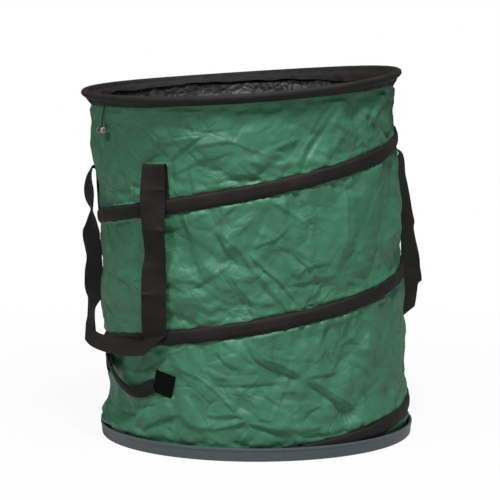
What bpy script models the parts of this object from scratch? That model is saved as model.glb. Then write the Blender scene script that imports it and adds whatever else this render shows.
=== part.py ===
"""A pop-up garden waste bag: a fabric cylinder on a moulded tray, held open by a spiral spring.

Metres, +Z up. The origin is the centre of the tray's underside. The carry handles hang at -X and +X.
Angles are in degrees from +X, counter-clockwise seen from above. The bag is drawn upright first and
then leaned a little towards -X, as the real one sags.
"""

import math

import bmesh
import bpy
from mathutils import Vector

# Bag
HOOP_HEIGHT = 0.590
LEAN_DEGREES = 4.1
COLUMNS = 40
WALL_THICKNESS = 0.0012
LINING_THICKNESS = 0.0010
FABRIC_GAP = 0.0004
WALL_BOTTOM = 0.008
WALL_TOP = 0.580
LINING_BOTTOM = 0.0095
LINING_TOP = 0.571

# Heights and radii of the fabric's outer face: it spreads at the tray and again under the rim
WALL_PROFILE = (
    (0.0080, 0.2532),
    (0.0340, 0.2562),
    (0.0550, 0.2560),
    (0.0760, 0.2532),
    (0.1000, 0.2508),
    (0.1300, 0.2500),
    (0.2700, 0.2500),
    (0.4200, 0.2500),
    (0.5450, 0.2500),
    (0.5710, 0.2522),
    (0.5800, 0.2545),
)

# Buckles of the fabric between its seams, where it stands off the lining: how many waves run round
# the bag, how many run up it, and the angle that each starts at
BUCKLE_WAVES = ((14, 3.1, 40.0), (-17, 4.3, 110.0), (11, -5.2, 200.0))
BUCKLE_RISE = 0.0062
BUCKLE_ROWS = (0.165, 0.200, 0.235, 0.3075, 0.345, 0.3825, 0.4617, 0.5033)
SEAM_MARGIN = 0.0165

# Where the fabric lies flat, under what is sewn to it or held off it: angles, then heights
FLAT_PLACES = (
    (150.0, 219.0, 0.000, 0.200),
    (160.0, 200.0, 0.200, 0.370),
    (196.0, 218.0, 0.390, 0.520),
    (142.0, 164.0, 0.350, 0.470),
    (330.0, 400.0, 0.180, 0.390),
    (331.0, 344.0, 0.390, 0.600),
    (385.0, 398.0, 0.390, 0.600),
    (170.0, 192.0, 0.490, 0.600),
    (350.0, 372.0, 0.490, 0.600),
    (0.0, 360.0, 0.000, 0.050),
    (0.0, 360.0, 0.540, 0.600),
)
PINCH_DEPTH = 0.011
PINCH_ANGLE = 165.0
PINCH_SPREAD = 58.0
PINCH_HEIGHT = 0.076
PINCH_REACH = 0.052

# Base tray
TRAY_HEIGHT = 0.022
TRAY_FLOOR = 0.003
TRAY_OUTER_RADIUS = 0.2645
TRAY_WALL = 0.0024
TRAY_RIB_RADIUS = 0.180
TRAY_RIB_HALF_WIDTH = 0.008
TRAY_RIB_SLOPE = 0.004
TRAY_RIB_RISE = 0.003
DRAIN_HOLE_RADIUS = 0.004
DRAIN_HOLES = 6
DRAIN_CIRCLE = 0.140
RIVETS = 4
RIVET_SHANK_RADIUS = 0.002
RIVET_HEAD_RADIUS = 0.0055

# Bag floor and bottom hoop
BAG_FLOOR_RADIUS = 0.2455
BAG_FLOOR_BOTTOM = 0.0065
BAG_FLOOR_THICKNESS = 0.0012
BASE_HOOP_RADIUS = 0.2430
BASE_HOOP_HEIGHT = 0.0125
BASE_HOOP_WIRE = 0.002
SLEEVE_RADIUS = 0.0037
SLEEVE_THICKNESS = 0.0008

# Spiral band: the spring wire and the tape that covers it
BAND_PITCH = 0.215
BAND_GROUND_ANGLE = 235.9
BAND_START_ANGLE = 252.0
BAND_END_ANGLE = 1179.0
TAPE_HALF_WIDTH = 0.0125
TAPE_THICKNESS = 0.0010
TAPE_LIFT = 0.0011
TAPE_FOOT = 0.0040
TAPE_RIDGE = 0.0018
TAPE_RIDGE_LIFT = 0.0046
TAPE_LOWEST = 0.0045
TAPE_HIGHEST = 0.5700
SPRING_WIRE = 0.0015
SPRING_LIFT = 0.0022

# Rim
RIM_HOOP_RADIUS = 0.2615
RIM_HOOP_WIRE = 0.0025
HEM_THICKNESS = 0.0012
HEM_ROLL = 0.0053
FERRULE_RADIUS = 0.0034
FERRULE_THICKNESS = 0.0008
FERRULE_HALF_LENGTH = 4.5

# Webbing
WEBBING_HALF_WIDTH = 0.020
WEBBING_THICKNESS = 0.0020
WEBBING_LIFT = 0.0019
FOLD_RADIUS = 0.004
GRAB_HALF_WIDTH = 0.0125
PATCH_HALF_WIDTH = 0.0195
PATCH_HALF_HEIGHT = 0.0190
PATCH_LIFT = 0.0024
JOIN_GAP = 0.0004
BEND_GAP = 0.0014
TAPE_GAP = 0.001
# The carry handles are sewn beside the band's upper turn, two turns above its lowest
HANDLE_TURNS = 720.0

# Toggles
TOGGLE_LENGTH = 0.016
TOGGLE_RADIUS = 0.0052
TOGGLE_TOP = 0.5698
TOGGLE_SEAT = 0.0005
# How far out and down the elastic is, from the hem to the toggle
TOGGLE_CORD_ROUTE = (
    (0.0, 0.0),
    (0.0047, 0.0090),
    (0.0068, 0.0195),
    (0.0077, 0.0240),
    (0.0077, 0.0300),
)
TOGGLE_CORD_RADIUS = 0.0011
TOGGLE_CORD_LIFT = 0.0014
TOGGLE_HOLE_RADIUS = 0.0016

BLACK_WEBBING = (0.020, 0.017, 0.015)


def start_scene():
    """Clears the scene and makes one collection for the parts and one for the cutters."""
    for obj in list(bpy.data.objects):
        bpy.data.objects.remove(obj)
    made = []
    for name in ("garden_waste_bag", "cutters"):
        collection = bpy.data.collections.new(name)
        bpy.context.scene.collection.children.link(collection)
        made.append(collection)
    return made


PARTS, CUTTERS = start_scene()


def material(name, colour, roughness, metallic=0.0):
    """A plain Principled material."""
    made = bpy.data.materials.new(name)
    made.use_nodes = True
    shader = made.node_tree.nodes["Principled BSDF"]
    shader.inputs["Base Color"].default_value = (*colour, 1.0)
    shader.inputs["Roughness"].default_value = roughness
    shader.inputs["Metallic"].default_value = metallic
    made.diffuse_color = (*colour, 1.0)
    return made


def smooth(obj):
    """Round surfaces shaded smooth, real corners kept sharp."""
    obj.data.shade_smooth()
    obj.data.set_sharp_from_angle(angle=math.radians(35))


def add_object(name, data, finish, parent=None):
    """Links an object whose data is in its parent's frame, or in the world's."""
    obj = bpy.data.objects.new(name, data)
    PARTS.objects.link(obj)
    data.materials.append(finish)
    obj.parent = parent
    return obj


def axis_empty(name, place, turn_y=0.0):
    """An empty that carries a moving piece and sits on its joint's axis."""
    empty = bpy.data.objects.new(name, None)
    empty.empty_display_size = 0.03
    empty.location = place
    empty.rotation_euler = (0.0, turn_y, 0.0)
    PARTS.objects.link(empty)
    return empty


def read_profile(profile, height):
    """The radius at a height, straight between the profile's points."""
    if height <= profile[0][0]:
        return profile[0][1]
    for (low, first), (high, second) in zip(profile, profile[1:]):
        if height <= high:
            return first + (second - first) * (height - low) / (high - low)
    return profile[-1][1]


def pinch(angle, height):
    """How far the fabric is drawn in above the tray, beside the grab handle."""
    away = (angle - PINCH_ANGLE + 180.0) % 360.0 - 180.0
    across = abs(away) / PINCH_SPREAD
    up = abs(height - PINCH_HEIGHT) / PINCH_REACH
    if across >= 1.0 or up >= 1.0:
        return 0.0
    return PINCH_DEPTH * math.cos(across * math.pi / 2) ** 2 * math.cos(up * math.pi / 2) ** 2


def wall_radius(angle, height):
    """The outer face's radius, straight between the wall's rows as the mesh is."""
    rows = [(z, r - pinch(angle, z)) for z, r in WALL_PROFILE]
    return read_profile(rows, height)


def leaned(point):
    """Leans a point of the upright bag towards -X: the more, the higher it is."""
    x, y, z = point
    share = z / HOOP_HEIGHT
    tip = math.radians(LEAN_DEGREES)
    turn = tip * (2 * share - share * share)
    shift = HOOP_HEIGHT * tip * (share * share - share ** 3 / 3)
    return Vector((x * math.cos(turn) - shift, y, z + x * math.sin(turn)))


def upright(angle, height, lift):
    """A point of the upright bag, lift outside the fabric's outer face."""
    radius = wall_radius(angle, height) + lift
    turn = math.radians(angle)
    return Vector((radius * math.cos(turn), radius * math.sin(turn), height))


def on_wall(angle, height, lift=0.0):
    """The same point on the leaned bag."""
    return leaned(upright(angle, height, lift))


def band_height(angle):
    """The spiral band's middle at an angle that counts on past 360 for every turn."""
    return BAND_PITCH * (angle - BAND_GROUND_ANGLE) / 360.0


def sheet(name, rows, thickness, finish, parent=None, ring=False):
    """A shell: an open surface through rows of points, thickened on both sides."""
    origin = parent.matrix_basis.translation if parent else Vector()
    points = []
    index = {}
    grid = []
    for row in rows:
        line = []
        for point in row:
            key = tuple(round(value, 7) for value in point)
            if key not in index:
                index[key] = len(points)
                points.append(Vector(point) - origin)
            line.append(index[key])
        grid.append(line)
    faces = []
    for near, far in zip(grid, grid[1:]):
        count = len(near)
        for i in range(count if ring else count - 1):
            j = (i + 1) % count
            corners = list(dict.fromkeys((near[i], near[j], far[j], far[i])))
            faces.append(corners)
    mesh = bpy.data.meshes.new(name)
    mesh.from_pydata(points, [], faces)
    obj = add_object(name, mesh, finish, parent)
    solid = obj.modifiers.new("Thickness", "SOLIDIFY")
    solid.thickness = thickness
    solid.offset = 0.0
    solid.use_even_offset = True
    smooth(obj)
    return obj


def turned(name, profile, finish, steps=COLUMNS, parent=None):
    """A turned piece: its profile runs down the outer side, from top to bottom."""
    mesh = bpy.data.meshes.new(name)
    points = [(radius, 0.0, height) for radius, height in profile]
    mesh.from_pydata(points, [(i, i + 1) for i in range(len(points) - 1)], [])
    obj = add_object(name, mesh, finish, parent)
    screw = obj.modifiers.new("Turn", "SCREW")
    screw.steps = steps
    screw.render_steps = steps
    screw.use_merge_vertices = True
    screw.merge_threshold = 0.00005
    screw.use_smooth_shade = True
    return obj


def wire(name, points, radius, finish, parent=None, closed=False, sides=1):
    """A round wire or cord through points."""
    curve = bpy.data.curves.new(name, "CURVE")
    curve.dimensions = "3D"
    curve.bevel_depth = radius
    curve.bevel_resolution = sides
    curve.use_fill_caps = not closed
    spline = curve.splines.new("POLY")
    spline.points.add(len(points) - 1)
    for knot, point in zip(spline.points, points):
        knot.co = (*point, 1.0)
    spline.use_cyclic_u = closed
    spline.use_smooth = True
    return add_object(name, curve, finish, parent)


def cut(obj, cutter):
    """Takes the cutter out of the object."""
    taking = obj.modifiers.new("Cut", "BOOLEAN")
    taking.operation = "DIFFERENCE"
    taking.solver = "EXACT"
    taking.object = cutter
    return taking


def drill(name, places, radius, low, high):
    """Round cutters at the places, joined into one object."""
    mesh = bpy.data.meshes.new(name)
    shape = bmesh.new()
    for x, y in places:
        made = bmesh.ops.create_cone(
            shape, cap_ends=True, segments=8, radius1=radius, radius2=radius, depth=high - low
        )
        bmesh.ops.translate(shape, verts=made["verts"], vec=(x, y, (low + high) / 2))
    shape.to_mesh(mesh)
    shape.free()
    cutter = bpy.data.objects.new(name, mesh)
    CUTTERS.objects.link(cutter)
    cutter.hide_render = True
    cutter.display_type = "WIRE"
    return cutter


def ring_places(count, radius, first_angle):
    """Places evenly round a circle."""
    places = []
    for i in range(count):
        turn = math.radians(first_angle + 360.0 * i / count)
        places.append((radius * math.cos(turn), radius * math.sin(turn)))
    return places


def blended(stations, steps):
    """A smooth run through stations of equal length, by Catmull-Rom, with steps between each two."""
    run = []
    last = len(stations) - 1
    for i in range(last):
        before = stations[max(i - 1, 0)]
        start = stations[i]
        end = stations[i + 1]
        after = stations[min(i + 2, last)]
        for step in range(steps):
            t = step / steps
            run.append(tuple(
                0.5 * (2 * b + (c - a) * t + (2 * a - 5 * b + 4 * c - d) * t * t
                       + (3 * b - a - 3 * c + d) * t ** 3)
                for a, b, c, d in zip(before, start, end, after)
            ))
    run.append(stations[last])
    return run


# Base tray, rivets, floor and bottom hoop
def tray_profile():
    """The dish from the middle of its floor, out and over the lip, to the middle underneath."""
    inner = TRAY_OUTER_RADIUS - 0.0009 - TRAY_WALL
    top = [(0.0, TRAY_FLOOR)]
    under = [(0.0, 0.0)]
    near = TRAY_RIB_RADIUS - TRAY_RIB_HALF_WIDTH
    far = TRAY_RIB_RADIUS + TRAY_RIB_HALF_WIDTH
    for side, height in ((near - TRAY_RIB_SLOPE, 0.0), (near, TRAY_RIB_RISE),
                         (far, TRAY_RIB_RISE), (far + TRAY_RIB_SLOPE, 0.0)):
        top.append((side, TRAY_FLOOR + height))
        under.append((side, height))
    wall = [
        (inner - 0.0042, TRAY_FLOOR),
        (inner - 0.0012, TRAY_FLOOR + 0.0030),
        (inner, TRAY_HEIGHT),
        (TRAY_OUTER_RADIUS - 0.0006, TRAY_HEIGHT),
        (TRAY_OUTER_RADIUS, TRAY_HEIGHT - 0.0008),
        (TRAY_OUTER_RADIUS, TRAY_HEIGHT - 0.0036),
        (TRAY_OUTER_RADIUS - 0.0009, TRAY_HEIGHT - 0.0046),
        (TRAY_OUTER_RADIUS - 0.0022, 0.0030),
        (TRAY_OUTER_RADIUS - 0.0030, 0.0010),
        (TRAY_OUTER_RADIUS - 0.0050, 0.0),
    ]
    return top + wall + under[::-1]


def build_base():
    plastic = material("tray_plastic", (0.110, 0.130, 0.140), 0.45)
    tray = turned("base_tray", tray_profile(), plastic)
    rivet_places = ring_places(RIVETS, TRAY_RIB_RADIUS, 45.0)
    drain_places = ring_places(DRAIN_HOLES, DRAIN_CIRCLE, 0.0)
    cut(tray, drill("drain_cutter", drain_places, DRAIN_HOLE_RADIUS, -0.01, 0.02))
    cut(tray, drill("tray_rivet_cutter", rivet_places, RIVET_SHANK_RADIUS + 0.0004, -0.01, 0.02))

    floor_mesh = bpy.data.meshes.new("bag_floor")
    shape = bmesh.new()
    bmesh.ops.create_cone(
        shape, cap_ends=True, segments=COLUMNS, radius1=BAG_FLOOR_RADIUS,
        radius2=BAG_FLOOR_RADIUS, depth=BAG_FLOOR_THICKNESS
    )
    shape.to_mesh(floor_mesh)
    shape.free()
    bag_floor = add_object("bag_floor", floor_mesh, material("floor_fabric", (0.018, 0.018, 0.020), 0.6))
    bag_floor.location.z = BAG_FLOOR_BOTTOM + BAG_FLOOR_THICKNESS / 2
    cut(bag_floor, drill("floor_rivet_cutter", rivet_places, RIVET_SHANK_RADIUS + 0.0004, 0.001, 0.02))

    steel = material("rivet_steel", (0.55, 0.55, 0.56), 0.35, 1.0)
    above = BAG_FLOOR_BOTTOM + BAG_FLOOR_THICKNESS + 0.0003
    below = TRAY_RIB_RISE - 0.0003
    for number, (x, y) in enumerate(rivet_places, 1):
        profile = [
            (0.0, above + 0.0018),
            (RIVET_HEAD_RADIUS * 0.55, above + 0.0015),
            (RIVET_HEAD_RADIUS * 0.9, above + 0.0008),
            (RIVET_HEAD_RADIUS, above),
            (RIVET_SHANK_RADIUS, above),
            (RIVET_SHANK_RADIUS, below),
            (RIVET_HEAD_RADIUS * 0.9, below),
            (RIVET_HEAD_RADIUS * 0.9, below - 0.0010),
            (0.0, below - 0.0014),
        ]
        rivet = turned(f"rivet_{number}", profile, steel, steps=12)
        rivet.location = (x, y, 0.0)

    wire_steel = material("base_hoop_steel", (0.45, 0.45, 0.46), 0.4, 1.0)
    hoop_points = [
        (*place, BASE_HOOP_HEIGHT) for place in ring_places(COLUMNS, BASE_HOOP_RADIUS, 0.0)
    ]
    wire("base_hoop", hoop_points, BASE_HOOP_WIRE, wire_steel, closed=True)
    rows = []
    for column in range(COLUMNS + 1):
        angle = math.radians(360.0 * (column % COLUMNS) / COLUMNS)
        row = []
        for step in range(5):
            around = math.radians(-45.0 + 270.0 * step / 4)
            radius = BASE_HOOP_RADIUS + SLEEVE_RADIUS * math.cos(around)
            height = BASE_HOOP_HEIGHT + SLEEVE_RADIUS * math.sin(around)
            row.append((radius * math.cos(angle), radius * math.sin(angle), height))
        rows.append(row)
    sheet("base_hoop_sleeve", rows, SLEEVE_THICKNESS, material("sleeve_tape", BLACK_WEBBING, 0.7))


# Fabric
def crosses_seam(angle, low, high):
    """Whether the spiral band's tape passes between two heights."""
    for turn in range(4):
        onward = angle + 360.0 * turn
        if BAND_START_ANGLE - 9.0 <= onward <= BAND_END_ANGLE + 9.0:
            middle = band_height(onward)
            if low < middle + SEAM_MARGIN and high > middle - SEAM_MARGIN:
                return True
    return False


def buckle(column, heights, row):
    """How far the wall stands out at a row of a column: never beside a seam or a flat place."""
    angle = 360.0 * column / COLUMNS
    height = heights[row]
    if row in (0, len(heights) - 1):
        return 0.0
    for near in (angle - 360.0 / COLUMNS, angle, angle + 360.0 / COLUMNS):
        if crosses_seam(near % 360.0, heights[row - 1], heights[row + 1]):
            return 0.0
    for first, last, low, high in FLAT_PLACES:
        for onward in (angle, angle + 360.0):
            if first <= onward <= last and low <= height <= high:
                return 0.0
    waves = 0.0
    for around, up, start in BUCKLE_WAVES:
        waves += math.cos(math.radians(around * angle + start + 360.0 * up * height / HOOP_HEIGHT))
    return BUCKLE_RISE * max(0.0, min(1.0, 0.35 + waves / 2.2))


def buckled_wall(lift, finish):
    """The outer wall: its buckles stand on the straight panels between the profile's rows."""
    fixed = [z for z, _ in WALL_PROFILE if WALL_BOTTOM <= z <= WALL_TOP]
    heights = sorted(fixed + list(BUCKLE_ROWS))
    rows = []
    for row, height in enumerate(heights):
        below = max(z for z in fixed if z <= height)
        above = min(z for z in fixed if z >= height)
        share = (height - below) / (above - below) if above > below else 0.0
        points = []
        for column in range(COLUMNS):
            angle = 360.0 * column / COLUMNS
            panel = on_wall(angle, below, lift).lerp(on_wall(angle, above, lift), share)
            out = on_wall(angle, height, buckle(column, heights, row)) - on_wall(angle, height)
            points.append(panel + out)
        rows.append(points)
    return sheet("bag_wall", rows, WALL_THICKNESS, finish, ring=True)


def fabric_cylinder(name, heights, lift, thickness, finish):
    rows = []
    for height in heights:
        rows.append([
            on_wall(360.0 * column / COLUMNS, height, lift) for column in range(COLUMNS)
        ])
    return sheet(name, rows, thickness, finish, ring=True)


def build_fabric():
    inner_rows = [z for z, _ in WALL_PROFILE if WALL_BOTTOM < z < LINING_TOP]
    green = material("green_fabric", (0.050, 0.180, 0.110), 0.75)
    buckled_wall(-WALL_THICKNESS / 2, green)
    lining = material("black_lining", (0.016, 0.016, 0.018), 0.3)
    depth = -WALL_THICKNESS - FABRIC_GAP - LINING_THICKNESS / 2
    rows = [LINING_BOTTOM] + inner_rows + [LINING_TOP]
    fabric_cylinder("inner_lining", rows, depth, LINING_THICKNESS, lining)


# Spiral band
def band_angles():
    step = 360.0 / COLUMNS
    count = round((BAND_END_ANGLE - BAND_START_ANGLE) / step)
    return [BAND_START_ANGLE + step * i for i in range(count + 1)]


def build_band():
    spring = [on_wall(angle, band_height(angle), SPRING_LIFT) for angle in band_angles()]
    wire("spiral_spring", spring, SPRING_WIRE, material("spring_steel", (0.50, 0.50, 0.52), 0.35, 1.0))
    section = (
        (-TAPE_HALF_WIDTH, TAPE_LIFT),
        (-TAPE_FOOT, TAPE_LIFT),
        (-TAPE_RIDGE, TAPE_RIDGE_LIFT),
        (TAPE_RIDGE, TAPE_RIDGE_LIFT),
        (TAPE_FOOT, TAPE_LIFT),
        (TAPE_HALF_WIDTH, TAPE_LIFT),
    )
    rows = []
    for angle in band_angles():
        middle = band_height(angle)
        row = []
        for across, lift in section:
            height = min(max(middle + across, TAPE_LOWEST), TAPE_HIGHEST)
            row.append(on_wall(angle, height, lift))
        rows.append(row)
    sheet("spiral_tape", rows, TAPE_THICKNESS, material("tape", BLACK_WEBBING, 0.7))


# Rim
def rim_seat():
    """The empty that carries the rim, at the hoop's centre and tilted with it."""
    return axis_empty("rim_slide_axis", leaned((0.0, 0.0, HOOP_HEIGHT)), -math.radians(LEAN_DEGREES))


def hem_profile():
    """The binding from the skirt's lower edge, over the hoop, and down the inner facing."""
    outside = [(0.2536, -0.0190), (0.2588, -0.0105)]
    roll = []
    for degrees in (-40.0, 5.0, 50.0, 90.0, 130.0, 180.0):
        around = math.radians(degrees)
        roll.append((RIM_HOOP_RADIUS + HEM_ROLL * math.cos(around), HEM_ROLL * math.sin(around)))
    inside = [(0.2504, -0.0105), (0.2480, -0.0190), (0.2462, -0.0340)]
    return outside + roll + inside


def build_rim(seat):
    hoop_points = [(*place, 0.0) for place in ring_places(COLUMNS, RIM_HOOP_RADIUS, 0.0)]
    steel = material("rim_hoop_steel", (0.45, 0.45, 0.46), 0.4, 1.0)
    wire("rim_hoop", hoop_points, RIM_HOOP_WIRE, steel, parent=seat, closed=True)

    # The sleeve follows the hoop's own straight facets, either side of one of its corners
    half_facet = 180.0 / COLUMNS
    rows = []
    for offset in (-FERRULE_HALF_LENGTH, 0.0, FERRULE_HALF_LENGTH):
        angle = math.radians(90.0 + offset)
        beside = math.radians(half_facet - abs(offset))
        on_facet = RIM_HOOP_RADIUS * math.cos(math.radians(half_facet)) / math.cos(beside)
        row = []
        for side in range(12):
            around = math.radians(30.0 * side)
            radius = on_facet + FERRULE_RADIUS * math.cos(around)
            row.append((radius * math.cos(angle), radius * math.sin(angle), FERRULE_RADIUS * math.sin(around)))
        rows.append(row)
    seat_place = seat.matrix_basis.translation
    moved = [[Vector(point) + seat_place for point in row] for row in rows]
    sheet("rim_ferrule", moved, FERRULE_THICKNESS, material("ferrule_steel", (0.6, 0.6, 0.6), 0.3, 1.0),
          parent=seat, ring=True)

    rows = []
    for column in range(COLUMNS + 1):
        angle = math.radians(360.0 * (column % COLUMNS) / COLUMNS)
        row = []
        for radius, height in hem_profile():
            place = Vector((radius * math.cos(angle), radius * math.sin(angle), height))
            row.append(place + seat_place)
        rows.append(row)
    sheet("rim_hem", rows, HEM_THICKNESS, material("hem_tape", BLACK_WEBBING, 0.65), parent=seat)


# Webbing
def cross_edges(angle, height, lift, yaw, half_width=WEBBING_HALF_WIDTH):
    """The two edges of upright webbing: low-angle edge first, turned by yaw about its own length."""
    turn = math.radians(angle)
    outward = Vector((math.cos(turn), math.sin(turn), 0.0))
    onward = Vector((-math.sin(turn), math.cos(turn), 0.0))
    yaw = math.radians(yaw)
    across = onward * math.cos(yaw) - outward * math.sin(yaw)
    middle = upright(angle, height, lift)
    return leaned(middle - across * half_width), leaned(middle + across * half_width)


def tape_clearance(angle, height):
    """How far webbing's square end stays from the middle of the rising tape."""
    spread = math.degrees(WEBBING_HALF_WIDTH / wall_radius(angle, height))
    return TAPE_HALF_WIDTH + BAND_PITCH * spread / 360.0 + TAPE_GAP


def build_anchor(name, angle, low, high, finish, parent):
    """A sewn end of webbing that lies flat on the wall."""
    rows = []
    for i in range(3):
        height = low + (high - low) * i / 2
        edges = []
        for share in (-1.0, 0.0, 1.0):
            spread = math.degrees(WEBBING_HALF_WIDTH / wall_radius(angle, height))
            edges.append(on_wall(angle + share * spread, height, WEBBING_LIFT))
        rows.append(edges)
    return sheet(name, rows, WEBBING_THICKNESS, finish, parent=parent)


# Left handle: angle, height, lift and yaw down each leg, then the run along the bottom
LEFT_FRONT_FOLD = (209.0, 0.481)
LEFT_REAR_FOLD = (153.0, 0.455)
LEFT_FRONT_LEG = (
    (209.0, 0.481, 0.0099, 8.0),
    (208.2, 0.434, 0.0140, 24.0),
    (207.5, 0.352, 0.0160, 28.0),
    (206.3, 0.268, 0.0160, 28.0),
    (206.0, 0.214, 0.0150, 26.0),
)
LEFT_REAR_LEG = (
    (153.0, 0.455, 0.0099, 4.0),
    (153.0, 0.430, 0.0165, 24.0),
    (153.0, 0.395, 0.0185, 14.0),
    (152.5, 0.352, 0.0210, 62.0),
    (152.5, 0.262, 0.0225, 70.0),
    (153.0, 0.222, 0.0290, 38.0),
    (153.5, 0.203, 0.0330, 26.0),
)
LEFT_FRONT_CORNER = (206.0, 0.205, 0.0150, 26.0)
LEFT_REAR_CORNER = (153.5, 0.194, 0.0340, 26.0)
# Angle, upper edge's height and lift, lower edge's height and lift
LEFT_BOTTOM_RUN = (
    (202.1, 0.197, 0.0215, 0.171, 0.0290),
    (196.0, 0.195, 0.0150, 0.169, 0.0300),
    (187.0, 0.194, 0.0100, 0.168, 0.0300),
    (177.0, 0.193, 0.0095, 0.167, 0.0310),
    (168.0, 0.192, 0.0120, 0.167, 0.0340),
    (157.2, 0.188, 0.0255, 0.168, 0.0400),
)
RIGHT_FRONT_ANGLE = 338.0
RIGHT_REAR_ANGLE = 392.0
RIGHT_TAB = 0.010
RIGHT_LEG_SHARE = 0.97
RIGHT_CORNER_DROP = 0.038
RIGHT_LEG = (
    (0.0, 0.0000, 0.0019, 0.0),
    (0.0, 0.0080, 0.0075, 2.0),
    (0.4, 0.0350, 0.0115, 18.0),
    (0.9, 0.0700, 0.0175, 40.0),
    (1.0, 0.1200, 0.0220, 52.0),
    (1.0, 0.1800, 0.0245, 56.0),
)
RIGHT_LEG_FOOT = (1.0, 0.2230, 0.0245, 54.0)
RIGHT_BOTTOM_RUN = (
    (343.0, 0.243, 0.0375, 0.207, 0.0340),
    (354.0, 0.241, 0.0330, 0.204, 0.0310),
    (365.0, 0.240, 0.0310, 0.203, 0.0300),
    (376.0, 0.241, 0.0330, 0.204, 0.0310),
    (387.0, 0.243, 0.0375, 0.207, 0.0340),
)


def build_left_handle(band, webbing):
    front_angle, front_fold = LEFT_FRONT_FOLD
    rear_angle, rear_fold = LEFT_REAR_FOLD
    for name, angle, fold in (("front", front_angle, front_fold), ("rear", rear_angle, rear_fold)):
        low = band_height(angle + HANDLE_TURNS) + tape_clearance(angle, fold)
        build_anchor(f"left_anchor_{name}", angle, low, fold - JOIN_GAP, webbing, band)

    middle_lift = WEBBING_LIFT + FOLD_RADIUS
    front_axis = on_wall(front_angle, front_fold, middle_lift)
    rear_axis = on_wall(rear_angle, rear_fold, middle_lift)
    pivot = axis_empty("left_handle_axis", (front_axis + rear_axis) / 2)

    def fold(angle, height, yaw):
        rows = []
        for step in range(5):
            around = math.radians(180.0 - 180.0 * step / 5)
            lift = middle_lift + FOLD_RADIUS * math.cos(around)
            rows.append(cross_edges(angle, height + FOLD_RADIUS * math.sin(around), lift, yaw * step / 5))
        return rows

    front = fold(front_angle, front_fold, LEFT_FRONT_LEG[0][3])
    front += [cross_edges(*station) for station in blended(LEFT_FRONT_LEG, 2)]
    rear = fold(rear_angle, rear_fold, LEFT_REAR_LEG[0][3])
    rear += [cross_edges(*station) for station in blended(LEFT_REAR_LEG, 2)]

    run = blended(LEFT_BOTTOM_RUN, 2)
    bottom = [
        (on_wall(angle, low, low_lift), on_wall(angle, high, high_lift))
        for angle, high, high_lift, low, low_lift in run
    ]
    inner_front = bottom[0][1]
    inner_rear = bottom[-1][1]
    outer_front = cross_edges(*LEFT_FRONT_CORNER)[1]
    outer_rear = cross_edges(*LEFT_REAR_CORNER)[0]
    # Outer edge first all the way round, with the webbing folded over on itself at both corners
    strip = [(high, low) for low, high in front]
    strip.append((outer_front, inner_front))
    strip += bottom
    strip.append((outer_rear, inner_rear))
    strip += [(low, high) for low, high in reversed(rear)]
    sheet("left_handle", strip, WEBBING_THICKNESS, webbing, parent=pivot)
    return front_axis, rear_axis


def right_leg_station(angle, top, sign, station):
    """One station of a leg that hangs from top, mirrored by sign."""
    turn, drop, lift, yaw = station
    return angle + sign * turn, top - drop, lift, -sign * yaw


def build_right_handle(band, webbing):
    tops = {}
    for name, angle in (("front", RIGHT_FRONT_ANGLE), ("rear", RIGHT_REAR_ANGLE)):
        middle = band_height(angle + HANDLE_TURNS)
        high = middle - tape_clearance(angle, middle)
        build_anchor(f"right_anchor_{name}", angle, high - RIGHT_TAB, high, webbing, band)
        tops[name] = high - RIGHT_TAB - BEND_GAP
    front_axis = on_wall(RIGHT_FRONT_ANGLE, tops["front"], WEBBING_LIFT)
    rear_axis = on_wall(RIGHT_REAR_ANGLE, tops["rear"], WEBBING_LIFT)
    pivot = axis_empty("right_handle_axis", (front_axis + rear_axis) / 2)

    def leg(angle, top, sign):
        stretch = (top - RIGHT_BOTTOM_RUN[0][1]) / RIGHT_LEG_FOOT[1]
        stations = []
        for turn, drop, lift, yaw in RIGHT_LEG + (RIGHT_LEG_FOOT,):
            station = (turn, drop * stretch * RIGHT_LEG_SHARE, lift, yaw)
            stations.append(right_leg_station(angle, top, sign, station))
        return [cross_edges(*station) for station in blended(stations, 2)], stations[-1]

    front, front_foot = leg(RIGHT_FRONT_ANGLE, tops["front"], 1.0)
    rear, rear_foot = leg(RIGHT_REAR_ANGLE, tops["rear"], -1.0)
    bottom = [
        (on_wall(angle, low, low_lift), on_wall(angle, high, high_lift))
        for angle, high, high_lift, low, low_lift in blended(RIGHT_BOTTOM_RUN, 2)
    ]
    outer_front = cross_edges(front_foot[0], front_foot[1] - RIGHT_CORNER_DROP, *front_foot[2:])[0]
    outer_rear = cross_edges(rear_foot[0], rear_foot[1] - RIGHT_CORNER_DROP, *rear_foot[2:])[1]
    strip = list(front)
    strip.append((outer_front, bottom[0][1]))
    strip += bottom
    strip.append((outer_rear, bottom[-1][1]))
    strip += [(high, low) for low, high in reversed(rear)]
    sheet("right_handle", strip, WEBBING_THICKNESS, webbing, parent=pivot)
    return front_axis, rear_axis


# Grab handle, low on the -X side, for tipping the bag out
GRAB_REAR_PATCH = (162.0, 0.1345)
GRAB_FRONT_PATCH = (207.2, 0.121)
# Angle, height and lift of the strap's middle
GRAB_RUN = (
    (166.8, 0.1390, 0.0024),
    (170.5, 0.1350, 0.0080),
    (176.0, 0.1230, 0.0130),
    (183.0, 0.1080, 0.0160),
    (189.0, 0.1030, 0.0165),
    (195.0, 0.1080, 0.0130),
    (199.0, 0.1150, 0.0080),
    (202.3, 0.1190, 0.0024),
)


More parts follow.
